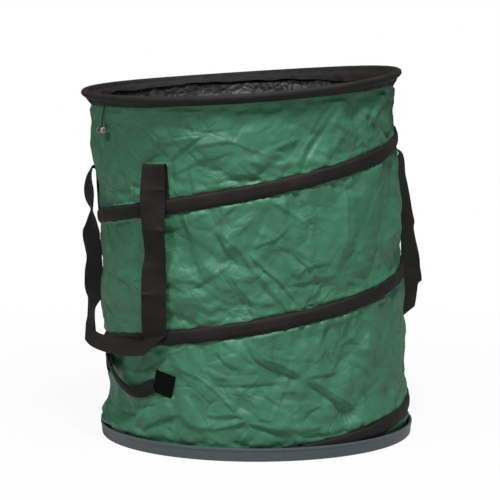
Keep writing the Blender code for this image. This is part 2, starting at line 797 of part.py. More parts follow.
def build_grab_handle(webbing):
    carrier = axis_empty("grab_patch_seat", on_wall(185.0, 0.130))
    for name, (angle, height) in (("rear", GRAB_REAR_PATCH), ("front", GRAB_FRONT_PATCH)):
        spread = math.degrees(PATCH_HALF_WIDTH / wall_radius(angle, height))
        rows = []
        for up in (-1.0, 0.0, 1.0):
            rows.append([
                on_wall(angle + share * spread, height + up * PATCH_HALF_HEIGHT, PATCH_LIFT)
                for share in (-1.0, 0.0, 1.0)
            ])
        sheet(f"grab_patch_{name}", rows, WEBBING_THICKNESS, webbing, parent=carrier)

    rear_axis = on_wall(*GRAB_RUN[0])
    front_axis = on_wall(*GRAB_RUN[-1])
    pivot = axis_empty("grab_handle_axis", (rear_axis + front_axis) / 2)
    run = blended(GRAB_RUN, 2)
    rows = []
    for i, (angle, height, lift) in enumerate(run):
        before = upright(*run[max(i - 1, 0)])
        after = upright(*run[min(i + 1, len(run) - 1)])
        turn = math.radians(angle)
        outward = Vector((math.cos(turn), math.sin(turn), 0.0))
        along = (after - before).normalized()
        if i in (0, len(run) - 1):
            along = Vector((-math.sin(turn), math.cos(turn), 0.0))
        across = outward.cross(along).normalized() * GRAB_HALF_WIDTH
        middle = upright(angle, height, lift)
        rows.append([leaned(middle - across), leaned(middle + across)])
    sheet("grab_handle", rows, WEBBING_THICKNESS, webbing, parent=pivot)
    return rear_axis, front_axis


# Toggles on the rim and the loops at the base that they button into
TOGGLE_ANGLES = {"left": 182.0, "right": 2.0}
LOOP_CENTRES = {"left": 177.5, "right": 357.5}
LOOP_HALF_SPAN = 8.5
LOOP_TILT = 0.0065
LOOP_HEIGHT = 0.0300
LOOP_HALF_WIDTH = 0.0050
LOOP_LIFT = 0.0030
LOOP_END_LIFT = 0.0015


def build_toggle(side, angle):
    turn = math.radians(angle)
    top = on_wall(angle, TOGGLE_TOP, TOGGLE_CORD_LIFT)
    pivot = axis_empty(f"toggle_{side}_axis", top)
    elastic = material(f"toggle_cord_{side}", (0.020, 0.020, 0.022), 0.6)
    outward = Vector((math.cos(turn), math.sin(turn), 0.0))
    route = [outward * out - Vector((0.0, 0.0, down)) for out, down in TOGGLE_CORD_ROUTE]
    points = [Vector(point) for point in blended([tuple(place) for place in route], 3)]
    wire(f"toggle_cord_{side}", points, TOGGLE_CORD_RADIUS, elastic, parent=pivot)

    half = TOGGLE_LENGTH / 2
    profile = [(0.0, half)]
    for share in (0.3, 0.65, 1.0):
        around = math.radians(90.0 - 90.0 * share)
        profile.append((TOGGLE_RADIUS * math.cos(around), half - 0.003 + 0.003 * math.sin(around)))
    profile += [(radius, -height) for radius, height in reversed(profile)]
    finish = material(f"toggle_{side}", (0.060, 0.035, 0.035), 0.35)
    toggle = turned(f"toggle_{side}", profile, finish, steps=14, parent=pivot)
    toggle.location = route[-1] - Vector((0.0, 0.0, TOGGLE_SEAT))
    toggle.rotation_euler = (math.pi / 2, 0.0, turn)
    place = top + toggle.location
    cutter = drill(f"toggle_{side}_cutter", [(place.x, place.y)], TOGGLE_HOLE_RADIUS,
                   place.z + 0.0001, place.z + 0.02)
    cut(toggle, cutter)
    return top


def build_loop(side, centre):
    """A flat fabric loop sewn down at both ends just above the tray."""
    rows = []
    for step in range(7):
        share = step / 3 - 1.0
        lift = LOOP_END_LIFT + (LOOP_LIFT - LOOP_END_LIFT) * (1.0 - share * share)
        height = LOOP_HEIGHT - LOOP_TILT * share * 0.5
        angle = centre + share * LOOP_HALF_SPAN
        rows.append([
            on_wall(angle, height - LOOP_HALF_WIDTH, lift),
            on_wall(angle, height + LOOP_HALF_WIDTH, lift),
        ])
    sheet(f"base_loop_{side}", rows, 0.0012, material(f"loop_fabric_{side}", (0.07, 0.22, 0.14), 0.7))


def main():
    build_base()
    build_fabric()
    build_band()
    build_rim(rim_seat())
    webbing = material("webbing", BLACK_WEBBING, 0.75)
    band = axis_empty("handle_band_seat", leaned((0.0, 0.0, 0.480)))
    axes = {
        "left_handle": build_left_handle(band, webbing),
        "right_handle": build_right_handle(band, webbing),
        "grab_handle": build_grab_handle(webbing),
    }
    for side, angle in TOGGLE_ANGLES.items():
        axes[f"toggle_{side}"] = (build_toggle(side, angle),)
        build_loop(side, LOOP_CENTRES[side])
    for name, points in axes.items():
        print(name, [[round(value, 5) for value in point] for point in points])


main()
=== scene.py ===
"""Dresses the pop-up garden waste bag: fabric, webbing, hem, tray and toggles, with camera and light.

Metres, +Z up, in the same frame as the solids. Angles are in degrees from +X, counter-clockwise from above.
"""

import math
from contextlib import contextmanager

import bpy
import numpy as np
from mathutils import Euler, Matrix, Vector, noise


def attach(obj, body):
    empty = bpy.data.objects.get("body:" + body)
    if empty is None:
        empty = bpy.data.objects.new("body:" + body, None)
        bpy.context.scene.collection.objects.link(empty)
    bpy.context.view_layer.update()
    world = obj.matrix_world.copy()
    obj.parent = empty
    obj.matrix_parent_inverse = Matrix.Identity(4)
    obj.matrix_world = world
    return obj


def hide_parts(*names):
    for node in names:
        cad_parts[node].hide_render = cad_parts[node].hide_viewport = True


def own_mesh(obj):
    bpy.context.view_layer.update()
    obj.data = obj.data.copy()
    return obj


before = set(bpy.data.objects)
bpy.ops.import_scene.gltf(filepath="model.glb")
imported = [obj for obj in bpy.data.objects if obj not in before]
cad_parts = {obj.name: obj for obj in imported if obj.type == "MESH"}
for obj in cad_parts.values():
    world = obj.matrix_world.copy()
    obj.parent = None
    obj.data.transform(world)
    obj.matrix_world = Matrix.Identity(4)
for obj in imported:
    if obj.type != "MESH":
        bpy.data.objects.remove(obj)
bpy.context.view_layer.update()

# Bag
HOOP_HEIGHT = 0.590
LEAN = math.radians(4.1)
WALL_RADIUS = 0.25
WALL_ROUND = 2 * math.pi * WALL_RADIUS
WALL_HEIGHTS = (0.0080, 0.0340, 0.0550, 0.0760, 0.1000, 0.1300, 0.2700, 0.4200, 0.5450, 0.5710, 0.5900)
WALL_RADII = (0.2532, 0.2562, 0.2560, 0.2532, 0.2508, 0.2500, 0.2500, 0.2500, 0.2500, 0.2522, 0.2560)
WALL_BOTTOM = 0.0085
WALL_TOP = 0.5830
PINCH_DEPTH = 0.011
PINCH_ANGLE = 165.0
PINCH_SPREAD = 58.0
PINCH_HEIGHT = 0.076
PINCH_REACH = 0.052

# Buckles of the fabric between its seams: waves round the bag, waves up it, and where each starts
COLUMNS = 40
BUCKLE_WAVES = ((14, 3.1, 40.0), (-17, 4.3, 110.0), (11, -5.2, 200.0))
BUCKLE_RISE = 0.0062
BUCKLE_BASE = 0.35
BUCKLE_SHARE = 2.2
BUCKLE_TOP = 0.585
BUCKLE_ROWS = (0.165, 0.200, 0.235, 0.3075, 0.345, 0.3825, 0.4617, 0.5033)
SEAM_MARGIN = 0.0165
BAND_END_MARGIN = 9.0
FLAT_PLACES = (
    (150.0, 219.0, 0.000, 0.200),
    (160.0, 200.0, 0.200, 0.370),
    (196.0, 218.0, 0.390, 0.520),
    (142.0, 164.0, 0.350, 0.470),
    (330.0, 400.0, 0.180, 0.390),
    (331.0, 344.0, 0.390, 0.600),
    (385.0, 398.0, 0.390, 0.600),
    (170.0, 192.0, 0.490, 0.600),
    (350.0, 372.0, 0.490, 0.600),
    (0.0, 360.0, 0.000, 0.050),
    (0.0, 360.0, 0.540, 0.600),
)

# Spiral band
BAND_PITCH = 0.215
BAND_GROUND_ANGLE = 235.9
BAND_START_ANGLE = 252.0
BAND_END_ANGLE = 1179.0
BAND_LAPS = 4
TAPE_HALF_WIDTH = 0.0125
TAPE_LOWEST = 0.0045
TAPE_HIGHEST = 0.5720

# Rim
RIM_HOOP_RADIUS = 0.2615
RIM_WIRE = 0.0025
HOOP_END_GAP = 0.35
FERRULE_ANGLE = 90.0
FERRULE_SPREAD = 4.5
FERRULE_RADIUS = 0.0034
HEM_ROLL = 0.0053
RIM_SINK = 0.0010
RIM_SADDLE = 0.0034
RIM_DIP = 0.0012
RIM_TIP_ANGLE = 153.0
FACING_ANGLES = (15.0, 45.0, 80.0, 150.0, 185.0)
FACING_SHARES = (1.0, 0.70, 0.42, 0.42, 1.0)
LINING_RISE = 0.0070

# Tray and floor
TRAY_RADIUS = 0.2645
TRAY_HEIGHT = 0.022
FLOOR_HEIGHT = 0.0075
RIVET_CIRCLE = 0.180
RIVET_TURNS = (45.0, 135.0, 225.0, 315.0)
DRAIN_CIRCLE = 0.140
DRAIN_TURNS = (0.0, 60.0, 120.0, 180.0, 240.0, 300.0)

# Webbing
WEBBING_HALF_WIDTH = 0.020
WEBBING_SPREAD = math.degrees(WEBBING_HALF_WIDTH / WALL_RADIUS)
FOLD_RADIUS = 0.004
WEBBING_LIFT = 0.0019
RIBBON_STEPS = 10

# View
VIEW_TURN = math.radians(-27.0)
CAMERA_SIDE = -0.0108
CAMERA_BACK = -3.472
CAMERA_HEIGHT = 0.7064
CAMERA_PITCH = math.radians(6.55)
FOCAL_PIXELS = 2068.0
PICTURE_PIXELS = 500.0
SENSOR = 36.0
NEAREST_SEEN = 3.0
FARTHEST_SEEN = 3.9


# Noise of the creases in coated cloth: its exponent, lacunarity, octaves, offset and gain
CREASE_NOISE = (0.9, 2.1, 4, 0.9, 2.0)
CREASE_RANGE = 2.2
CREASE_SHIFT = 7.3


# Places and shares
def facing_camera(side, back, height):
    """A place given across and along the view."""
    return Vector((
        side * math.cos(VIEW_TURN) - back * math.sin(VIEW_TURN),
        side * math.sin(VIEW_TURN) + back * math.cos(VIEW_TURN),
        height,
    ))


def angle_from(angle, middle):
    """How far an angle is from another, between -180 and 180."""
    return (angle - middle + 180.0) % 360.0 - 180.0


def rising(value, start, reach):
    """0 up to start, and 1 once the value is past it by reach."""
    return np.clip((value - start) / reach, 0.0, 1.0)


def falling(value, end, reach):
    """0 from the end on, and 1 while the value is short of it by reach."""
    return np.clip((end - value) / reach, 0.0, 1.0)


def eased(share):
    """A share from 0 to 1 that starts and ends gently."""
    return share * share * (3.0 - 2.0 * share)


def round_place(turn, radius, height):
    """Points about the upright axis, at a turn in radians, a radius and a height."""
    return np.stack(np.broadcast_arrays(radius * np.cos(turn), radius * np.sin(turn), height), axis=-1)


def outward_at(angle):
    """The level way out from the upright axis at one angle."""
    turn = math.radians(angle)
    return np.array([math.cos(turn), math.sin(turn), 0.0])


# Shape of the bag
def leaned(points):
    """Leans points of the upright bag towards -X: the more, the higher they are."""
    x, y, z = points[..., 0], points[..., 1], points[..., 2]
    share = z / HOOP_HEIGHT
    turn = LEAN * (2 * share - share * share)
    shift = HOOP_HEIGHT * LEAN * (share * share - share ** 3 / 3)
    return np.stack([x * np.cos(turn) - shift, y, z + x * np.sin(turn)], axis=-1)


def pinch(angle, height):
    """How far the fabric is drawn in above the tray, beside the grab handle."""
    across = np.clip(np.abs(angle_from(angle, PINCH_ANGLE)) / PINCH_SPREAD, 0.0, 1.0)
    up = np.clip(np.abs(height - PINCH_HEIGHT) / PINCH_REACH, 0.0, 1.0)
    return PINCH_DEPTH * np.cos(across * np.pi / 2) ** 2 * np.cos(up * np.pi / 2) ** 2


def upright(angle, height, lift=0.0):
    """Points of the upright bag, lift outside the fabric's outer face."""
    angle = np.asarray(angle, float)
    height = np.asarray(height, float)
    radius = np.interp(height, WALL_HEIGHTS, WALL_RADII) - pinch(angle, height) + lift
    return round_place(np.radians(angle), radius, height)


def on_wall(angle, height, lift=0.0):
    return leaned(upright(angle, height, lift))


def bag_places(points):
    """Angle, height and radius on the upright bag of points of the leaned one."""
    guess = points.copy()
    for _ in range(8):
        guess += points - leaned(guess)
    x, y, height = guess[:, 0], guess[:, 1], guess[:, 2]
    return np.degrees(np.arctan2(y, x)) % 360.0, height, np.hypot(x, y)


def band_height(angle):
    """The spiral band's middle at an angle that counts on past 360 for every turn."""
    return BAND_PITCH * (angle - BAND_GROUND_ANGLE) / 360.0


def band_distance(angle, height):
    """How far places are above or below the middle of the band, and 1 where no band is near."""
    nearest = np.full(np.broadcast(angle, height).shape, 1.0)
    for turn in range(BAND_LAPS):
        onward = angle + 360.0 * turn
        on_band = (onward >= BAND_START_ANGLE) & (onward <= BAND_END_ANGLE)
        away = np.where(on_band, height - band_height(onward), 1.0)
        nearest = np.where(np.abs(away) < np.abs(nearest), away, nearest)
    return nearest


def on_rim(points):
    """Points of the rim's own frame, which sits on the leaned bag's top and tilts with it."""
    seat = leaned(np.array([0.0, 0.0, HOOP_HEIGHT]))
    x, y, z = points[..., 0], points[..., 1], points[..., 2]
    return np.stack([
        x * math.cos(LEAN) - z * math.sin(LEAN) + seat[0],
        y + seat[1],
        x * math.sin(LEAN) + z * math.cos(LEAN) + seat[2],
    ], axis=-1)


def rim_bend(angle):
    """The springy hoop is bent a little: up at both sides of the view, down in front and behind."""
    turn = np.radians(np.asarray(angle, float) - RIM_TIP_ANGLE)
    return RIM_SADDLE * np.cos(2 * turn) - RIM_DIP * np.sin(turn) - RIM_SINK


def facing_share(angle):
    """How much of the hem's facing hangs down inside: the lining has pulled it up at the back."""
    return np.interp(angle % 360.0, FACING_ANGLES, FACING_SHARES)


def ripple(points, wavelength, seed, waves=14):
    """Soft unevenness, mostly between -1 and 1, the same at each run."""
    source = np.random.default_rng(seed)
    total = np.zeros(points.shape[:-1])
    for _ in range(waves):
        way = source.normal(size=3)
        way /= np.linalg.norm(way)
        length = wavelength * source.uniform(0.6, 1.7)
        total += np.cos(2 * np.pi * (points @ way) / length + source.uniform(0, 2 * np.pi))
    return total / math.sqrt(waves)


def crumple(points, size, seed):
    """Sharp creases between 0 and about 1, as in stiff coated cloth."""
    flat = points.reshape(-1, 3) / size + seed * CREASE_SHIFT
    values = [noise.ridged_multi_fractal(Vector(place), *CREASE_NOISE) for place in flat]
    values = np.array(values).reshape(points.shape[:-1])
    return np.clip(values / CREASE_RANGE, 0.0, 1.5)


def smooth_run(stations, steps):
    """A smooth run through stations, by Catmull-Rom, with steps between each two."""
    stations = np.array(stations, float)
    padded = np.concatenate([stations[:1], stations, stations[-1:]])
    run = []
    for i in range(len(stations) - 1):
        before, start, end, after = padded[i:i + 4]
        for step in range(steps):
            t = step / steps
            run.append(0.5 * (2 * start + (end - before) * t
                              + (2 * before - 5 * start + 4 * end - after) * t * t
                              + (3 * start - before - 3 * end + after) * t ** 3))
    run.append(stations[-1])
    return np.array(run)


def path_length(path):
    return float(np.linalg.norm(np.diff(path, axis=0), axis=1).sum())


# Mesh work
def deselect():
    if bpy.context.object and bpy.context.object.mode != "OBJECT":
        bpy.ops.object.mode_set(mode="OBJECT")
    bpy.ops.object.select_all(action="DESELECT")


def choose(obj):
    deselect()
    obj.select_set(True)
    bpy.context.view_layer.objects.active = obj


@contextmanager
def editing(obj):
    """Edit mode, with all of the object's mesh chosen at first."""
    choose(obj)
    bpy.ops.object.mode_set(mode="EDIT")
    bpy.ops.mesh.select_all(action="SELECT")
    yield
    bpy.ops.object.mode_set(mode="OBJECT")


def apply_modifiers(obj):
    choose(obj)
    for modifier in list(obj.modifiers):
        bpy.ops.object.modifier_apply(modifier=modifier.name)


def round_off(obj, degrees):
    choose(obj)
    bpy.ops.object.shade_smooth_by_angle(angle=math.radians(degrees))


def mesh_points(obj):
    flat = np.empty(len(obj.data.vertices) * 3)
    obj.data.vertices.foreach_get("co", flat)
    return flat.reshape(-1, 3)


def set_points(obj, points):
    obj.data.vertices.foreach_set("co", np.ascontiguousarray(points).ravel())
    obj.data.update()


def cloth(name, points, size, finish, seam=False, thickness=0.0, degrees=40.0):
    """A grid primitive bent onto points, rows by columns; size is its flat width and height for the weave."""
    rows, columns = points.shape[:2]
    deselect()
    bpy.ops.mesh.primitive_grid_add(x_subdivisions=columns - 1, y_subdivisions=rows - 1, size=2.0)
    obj = bpy.context.active_object
    obj.name = name
    obj.data.name = name
    flat = mesh_points(obj)
    column = np.rint((flat[:, 0] + 1) / 2 * (columns - 1)).astype(int)
    row = np.rint((flat[:, 1] + 1) / 2 * (rows - 1)).astype(int)
    set_points(obj, points[row, column])
    layer = obj.data.uv_layers.active
    uv = np.empty(len(obj.data.loops) * 2)
    layer.data.foreach_get("uv", uv)
    uv = uv.reshape(-1, 2) * np.array(size)
    layer.data.foreach_set("uv", uv.ravel())
    obj.data.update()
    obj.data.materials.append(finish)
    if seam:
        with editing(obj):
            bpy.ops.mesh.select_mode(type="VERT")
            bpy.ops.mesh.select_all(action="DESELECT")
            bpy.ops.mesh.select_non_manifold()
            bpy.ops.mesh.remove_doubles(threshold=0.00001)
    if thickness:
        solid = obj.modifiers.new("Thickness", "SOLIDIFY")
        solid.thickness = thickness
        solid.offset = 0.0
        solid.use_even_offset = False
        apply_modifiers(obj)
    round_off(obj, degrees)
    return obj


def ribbon(name, left, right, finish, thickness=0.0018, cup=0.0, soft=0.0, seed=3, dents=()):
    """Webbing between its two edges, a little cupped across its width and never quite flat.

    A dent is how far along its middle is, its half length, which edge it starts from, and how deep it is.
    """
    left = np.array(left, float)
    right = np.array(right, float)
    along = np.gradient((left + right) / 2, axis=0)
    normal = np.cross(along, right - left)
    normal /= np.linalg.norm(normal, axis=1, keepdims=True) + 1e-12
    share = np.linspace(0.0, 1.0, RIBBON_STEPS + 1)[:, None, None]
    points = left[None] * (1 - share) + right[None] * share
    hollow = cup * (1 - (2 * share - 1) ** 2)
    wobble = ripple(points, 0.045, seed)[..., None] * soft
    steps = np.linalg.norm(np.diff((left + right) / 2, axis=0), axis=1)
    run = np.concatenate([[0.0], np.cumsum(steps)])[None, :, None]
    sunk = 0.0 * run
    for middle, half, edge, depth in dents:
        reach = half * {"left": 1.06 - share, "right": 0.06 + share, "both": 1.0 + 0.0 * share}[edge]
        sunk = sunk + depth * np.clip(1.0 - np.abs(run - middle) / reach, 0.0, 1.0)
    points = points + normal[None] * (hollow + wobble + sunk)
    width = float(np.median(np.linalg.norm(right - left, axis=1)))
    return cloth(name, points, (float(steps.sum()), width), finish, thickness=thickness, degrees=24.0)


def tube(name, path, radius, finish, sides, shell=0.0):
    """A round rod along points, with domed ends, or an open sleeve where it has a shell's thickness."""
    path = np.array(path, float)
    tangent = np.gradient(path, axis=0)
    tangent /= np.linalg.norm(tangent, axis=1, keepdims=True)
    side = np.cross(tangent[0], (0.3, 0.5, 0.8))
    turns = np.linspace(0.0, 2 * np.pi, sides + 1)
    rings = []
    for here, way in zip(path, tangent):
        side = side - way * np.dot(side, way)
        side /= np.linalg.norm(side)
        other = np.cross(way, side)
        rings.append([here + radius * (side * math.cos(t) + other * math.sin(t)) for t in turns])
    if not shell:
        dome = radius * 0.4
        rings = [[path[0] - tangent[0] * dome] * (sides + 1)] + rings
        rings.append([path[-1] + tangent[-1] * dome] * (sides + 1))
    points = np.array(rings).transpose(1, 0, 2)
    size = (path_length(path), 2 * math.pi * radius)
    return cloth(name, points, size, finish, seam=True, thickness=shell, degrees=60.0)


def spun(name, profile, finish, steps, degrees=35.0):
    """A turned piece: its profile in the XZ plane, spun about +Z and closed."""
    mesh = bpy.data.meshes.new(name)
    mesh.from_pydata([(r, 0.0, z) for r, z in profile], [(i, i + 1) for i in range(len(profile) - 1)], [])
    obj = bpy.data.objects.new(name, mesh)
    bpy.context.scene.collection.objects.link(obj)
    with editing(obj):
        bpy.ops.mesh.spin(steps=steps, angle=2 * math.pi, center=(0.0, 0.0, 0.0), axis=(0.0, 0.0, 1.0))
        bpy.ops.mesh.select_all(action="SELECT")
        bpy.ops.mesh.remove_doubles(threshold=0.00002)
        bpy.ops.mesh.normals_make_consistent(inside=False)
    mesh.materials.append(finish)
    round_off(obj, degrees)
    return obj


def shortens(obj, body):
    """The piece rides on its body, with a mesh of its own."""
    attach(obj, body)
    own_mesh(obj)


# Node trees
BLACK = (0.0, 0.0, 0.0)
WHITE = (1.0, 1.0, 1.0)
STITCH_SHARE = 0.78
STITCH_FULLNESS = 1.8


class Tree:
    """A node tree, with short ways to add nodes to it."""

    def __init__(self, tree):
        self.tree = tree

    def feed(self, socket, value):
        """Gives a socket a number, a colour, a vector or another node's output."""
        if isinstance(value, bpy.types.NodeSocket):
            self.tree.links.new(value, socket)
        elif isinstance(value, tuple) and socket.type == "RGBA":
            socket.default_value = (*value, 1.0)
        else:
            socket.default_value = value

    def add(self, kind, inputs=None, **settings):
        """A new node with its settings, and its inputs by name or by number."""
        node = self.tree.nodes.new("ShaderNode" + kind)
        for name, value in settings.items():
            setattr(node, name, value)
        for name, value in (inputs or {}).items():
            self.feed(node.inputs[name], value)
        return node

    def maths(self, operation, *values):
        return self.add("Math", dict(enumerate(values)), operation=operation).outputs[0]

    def times(self, first, second):
        return self.maths("MULTIPLY", first, second)

    def plus(self, first, second):
        return self.maths("ADD", first, second)

    def minus(self, first, second):
        return self.maths("SUBTRACT", first, second)


def new_group(name, inputs, outputs):
    """A group of nodes; an input has its own number, or None where it takes a vector."""
    group = bpy.data.node_groups.new(name, "ShaderNodeTree")
    for label, value in inputs.items():
        kind = "NodeSocketVector" if value is None else "NodeSocketFloat"
        socket = group.interface.new_socket(name=label, in_out="INPUT", socket_type=kind)
        if value is not None:
            socket.default_value = value
    for label in outputs:
        group.interface.new_socket(name=label, in_out="OUTPUT", socket_type="NodeSocketFloat")
    start = group.nodes.new("NodeGroupInput")
    end = group.nodes.new("NodeGroupOutput")
    return Tree(group), start.outputs, end.inputs


def make_weave_group():
    """Crossing threads, so many to the metre both ways, raised in turn."""
    group, start, end = new_group(
        "crossed_threads", {"Vector": None, "Along": 1000.0, "Across": 1000.0}, ["Height"])
    split = group.add("SeparateXYZ", {0: start["Vector"]}).outputs
    waves = []
    for axis, count in (("X", "Along"), ("Y", "Across")):
        turned = group.times(split[axis], start[count])
        waves.append(group.maths("SINE", group.times(turned, math.pi)))
    crossed = group.times(waves[0], waves[1])
    group.feed(end["Height"], group.plus(group.times(crossed, 0.5), 0.5))
    return group.tree


def make_stitch_group():
    """A row of stitches along the cloth, at one place across it."""
    group, start, end = new_group(
        "stitch_row", {"Vector": None, "Place": 0.005, "Pitch": 0.0032, "Half Width": 0.0005}, ["Mask"])
    split = group.add("SeparateXYZ", {0: start["Vector"]}).outputs
    away = group.maths("ABSOLUTE", group.minus(split["Y"], start["Place"]))
    near = group.minus(1.0, group.maths("DIVIDE", away, start["Half Width"]))
    near = group.maths("MAXIMUM", near, 0.0)
    phase = group.maths("FRACT", group.maths("DIVIDE", split["X"], start["Pitch"]))
    bulge = group.maths("SINE", group.times(phase, math.pi / STITCH_SHARE))
    bulge = group.maths("MAXIMUM", bulge, 0.0)
    mask = group.maths("MINIMUM", group.times(group.times(near, bulge), STITCH_FULLNESS), 1.0)
    group.feed(end["Mask"], mask)
    return group.tree


def make_cloud_group():
    """Uneven patches at a coarse and a fine size, for dust, fading and rubbing."""
    group, start, end = new_group("uneven_patches", {"Vector": None, "Scale": 8.0}, ["Coarse", "Fine"])
    for label, factor, detail in (("Coarse", 1.0, 3.0), ("Fine", 9.0, 4.0)):
        scale = group.times(start["Scale"], factor)
        cloud = group.add("TexNoise", {"Vector": start["Vector"], "Scale": scale, "Detail": detail})
        group.feed(end[label], cloud.outputs["Fac"])
    return group.tree


def make_edge_group():
    """Where an edge or a ridge is rubbed: light on convex corners, broken up by grain."""
    group, start, end = new_group("rubbed_edges", {"Grain": 0.5, "Reach": 0.53}, ["Mask"])
    shape = group.add("NewGeometry")
    sharp = group.minus(shape.outputs["Pointiness"], start["Reach"])
    sharp = group.maths("MAXIMUM", group.times(sharp, 12.0), 0.0)
    broken = group.times(sharp, start["Grain"])
    group.feed(end["Mask"], group.maths("MINIMUM", broken, 1.0))
    return group.tree


WEAVE = make_weave_group()
STITCH = make_stitch_group()
CLOUD = make_cloud_group()
EDGE = make_edge_group()


# Materials
def scaled(colour, factor):
    """A colour made lighter or darker, with white as its limit."""
    return tuple(min(1.0, value * factor) for value in colour)


class Finish(Tree):
    """A material's node tree around its Principled shader."""

    def __init__(self, name, roughness, metallic=0.0):
        self.material = bpy.data.materials.new(name)
        self.material.use_nodes = True
        super().__init__(self.material.node_tree)
        self.shader = self.tree.nodes["Principled BSDF"]
        places = self.add("TexCoord").outputs
        self.place = places["Object"]
        self.uv = places["UV"]
        self.surface({"Metallic": metallic, "Roughness": roughness})

    def surface(self, inputs):
        for name, value in inputs.items():
            self.feed(self.shader.inputs[name], value)

    def group(self, tree, **inputs):
        """The outputs of a group, from inputs whose names have an underscore for a space."""
        named = {name.replace("_", " "): value for name, value in inputs.items()}
        return self.add("Group", named, node_tree=tree).outputs

    def grain(self, vector, scale, detail, roughness=0.55):
        inputs = {"Vector": vector, "Scale": scale, "Detail": detail, "Roughness": roughness}
        return self.add("TexNoise", inputs).outputs["Fac"]

    def crinkle(self, warp, wave, scale):
        """How far each point is from the edges of cells, pushed about by noise so that none is straight."""
        cloud = self.add("TexNoise", {"Vector": self.place, "Scale": wave}).outputs["Color"]
        pushed = self.add("VectorMath", {0: cloud, 1: (warp, warp, warp), 2: self.place},
                          operation="MULTIPLY_ADD").outputs[0]
        cells = self.add("TexVoronoi", {"Vector": pushed, "Scale": scale}, feature="DISTANCE_TO_EDGE")
        return cells.outputs["Distance"]

    def ramp(self, value, low, dark, high, light):
        """One colour up to a low value and another from a high value on."""
        node = self.add("ValToRGB", {"Fac": value})
        for element, position, colour in zip(node.color_ramp.elements, (low, high), (dark, light)):
            element.position = position
            element.color = (*colour, 1.0)
        return node.outputs["Color"]

    def mix(self, factor, first, second, mode="MIX"):
        inputs = {0: factor, 6: first, 7: second}
        return self.add("Mix", inputs, data_type="RGBA", blend_type=mode).outputs[2]

    def span(self, value, low, high):
        """Spreads a 0 to 1 value between two numbers."""
        return self.add("MapRange", {"Value": value, "To Min": low, "To Max": high}).outputs["Result"]

    def bumps(self, *layers):
        """Layers of height, strength and distance, the broadest first."""
        below = {}
        for height, strength, distance in layers:
            node = self.add("Bump", {"Height": height, "Strength": strength, "Distance": distance, **below})
            below = {"Normal": node.outputs["Normal"]}
        self.surface(below)


def green_finish(name, light, dark, threads=1500.0):
    """Coated green polyester: fine threads, small flat facets left from folding, a soft gloss."""
    f = Finish(name, 0.5)
    cloud = f.group(CLOUD, Vector=f.place, Scale=9.0)
    weave = f.group(WEAVE, Vector=f.uv, Along=threads, Across=threads)["Height"]
    colour = f.ramp(cloud["Coarse"], 0.30, dark, 0.70, light)
    colour = f.mix(f.times(cloud["Fine"], 0.18), colour, light)
    colour = f.mix(0.10, colour, weave, "MULTIPLY")
    rise = 0.0
    for warp, wave, scale, height in ((0.110, 5.0, 14.0, 0.0100), (0.050, 11.0, 33.0, 0.0020),
                                      (0.020, 24.0, 78.0, 0.0003)):
        rise = f.plus(rise, f.times(f.crinkle(warp, wave, scale), height))
    rise = f.times(rise, f.span(cloud["Coarse"], 0.4, 1.5))
    for warp, wave, scale, patch, depth in ((0.075, 6.0, 15.0, 7.0, 0.00085),
                                            (0.045, 10.0, 31.0, 12.0, 0.00042)):
        line = f.ramp(f.crinkle(warp, wave, scale), 0.0, BLACK, 0.055, WHITE)
        where = f.ramp(f.grain(f.place, patch, 1.0), 0.46, BLACK, 0.58, WHITE)
        groove = f.times(f.minus(line, 1.0), where)
        rise = f.plus(rise, f.times(groove, depth))
    f.surface({"Base Color": colour, "Roughness": f.span(cloud["Fine"], 0.48, 0.64),
               "Specular IOR Level": 0.38, "Sheen Weight": 0.02, "Sheen Roughness": 0.5})
    f.bumps((rise, 1.0, 1.0), (weave, 0.10, 0.00012))
    return f.material


def webbing_finish(name, light, dark, along, across, stitches=(), sheen=0.02, gloss=0.16):
    """Black woven webbing or tape, brown where the light grazes it, with rows of stitches."""
    f = Finish(name, 0.7)
    cloud = f.group(CLOUD, Vector=f.place, Scale=14.0)
    weave = f.group(WEAVE, Vector=f.uv, Along=along, Across=across)["Height"]
    colour = f.ramp(cloud["Coarse"], 0.30, dark, 0.72, light)
    threads = f.ramp(weave, 0.2, (0.62, 0.62, 0.62), 0.9, WHITE)
    colour = f.mix(0.8, colour, threads, "MULTIPLY")
    layers = [(f.grain(f.place, 60.0, 3.0), 0.25, 0.0012), (weave, 0.45, 0.00035)]
    for row in stitches:
        stitch = f.group(STITCH, Vector=f.uv, Place=row, Pitch=0.0034, Half_Width=0.0006)["Mask"]
        colour = f.mix(stitch, colour, scaled(light, 1.9))
        layers.append((stitch, 0.7, 0.0005))
    f.surface({"Base Color": colour, "Roughness": f.span(cloud["Fine"], 0.58, 0.80),
               "Specular IOR Level": gloss, "Sheen Weight": sheen, "Sheen Roughness": 0.40,
               "Sheen Tint": (0.75, 0.66, 0.60)})
    f.bumps(*layers)
    return f.material


def lining_finish(name):
    """Black coated lining: a little glossy, and crinkled all over into small facets."""
    f = Finish(name, 0.3)
    cloud = f.group(CLOUD, Vector=f.place, Scale=10.0)
    weave = f.group(WEAVE, Vector=f.uv, Along=1300.0, Across=1300.0)["Height"]
    crinkle = f.crinkle(0.03, 22.0, 70.0)
    folds = f.crinkle(0.06, 10.0, 24.0)
    colour = f.ramp(cloud["Fine"], 0.3, (0.011, 0.011, 0.012), 0.75, (0.030, 0.030, 0.032))
    f.surface({"Base Color": colour, "Roughness": f.span(cloud["Fine"], 0.38, 0.58),
               "Specular IOR Level": 0.28})
    rise = f.plus(f.times(folds, 0.0065), f.times(crinkle, 0.0030))
    f.bumps((rise, 1.0, 1.0), (weave, 0.12, 0.00015))
    return f.material


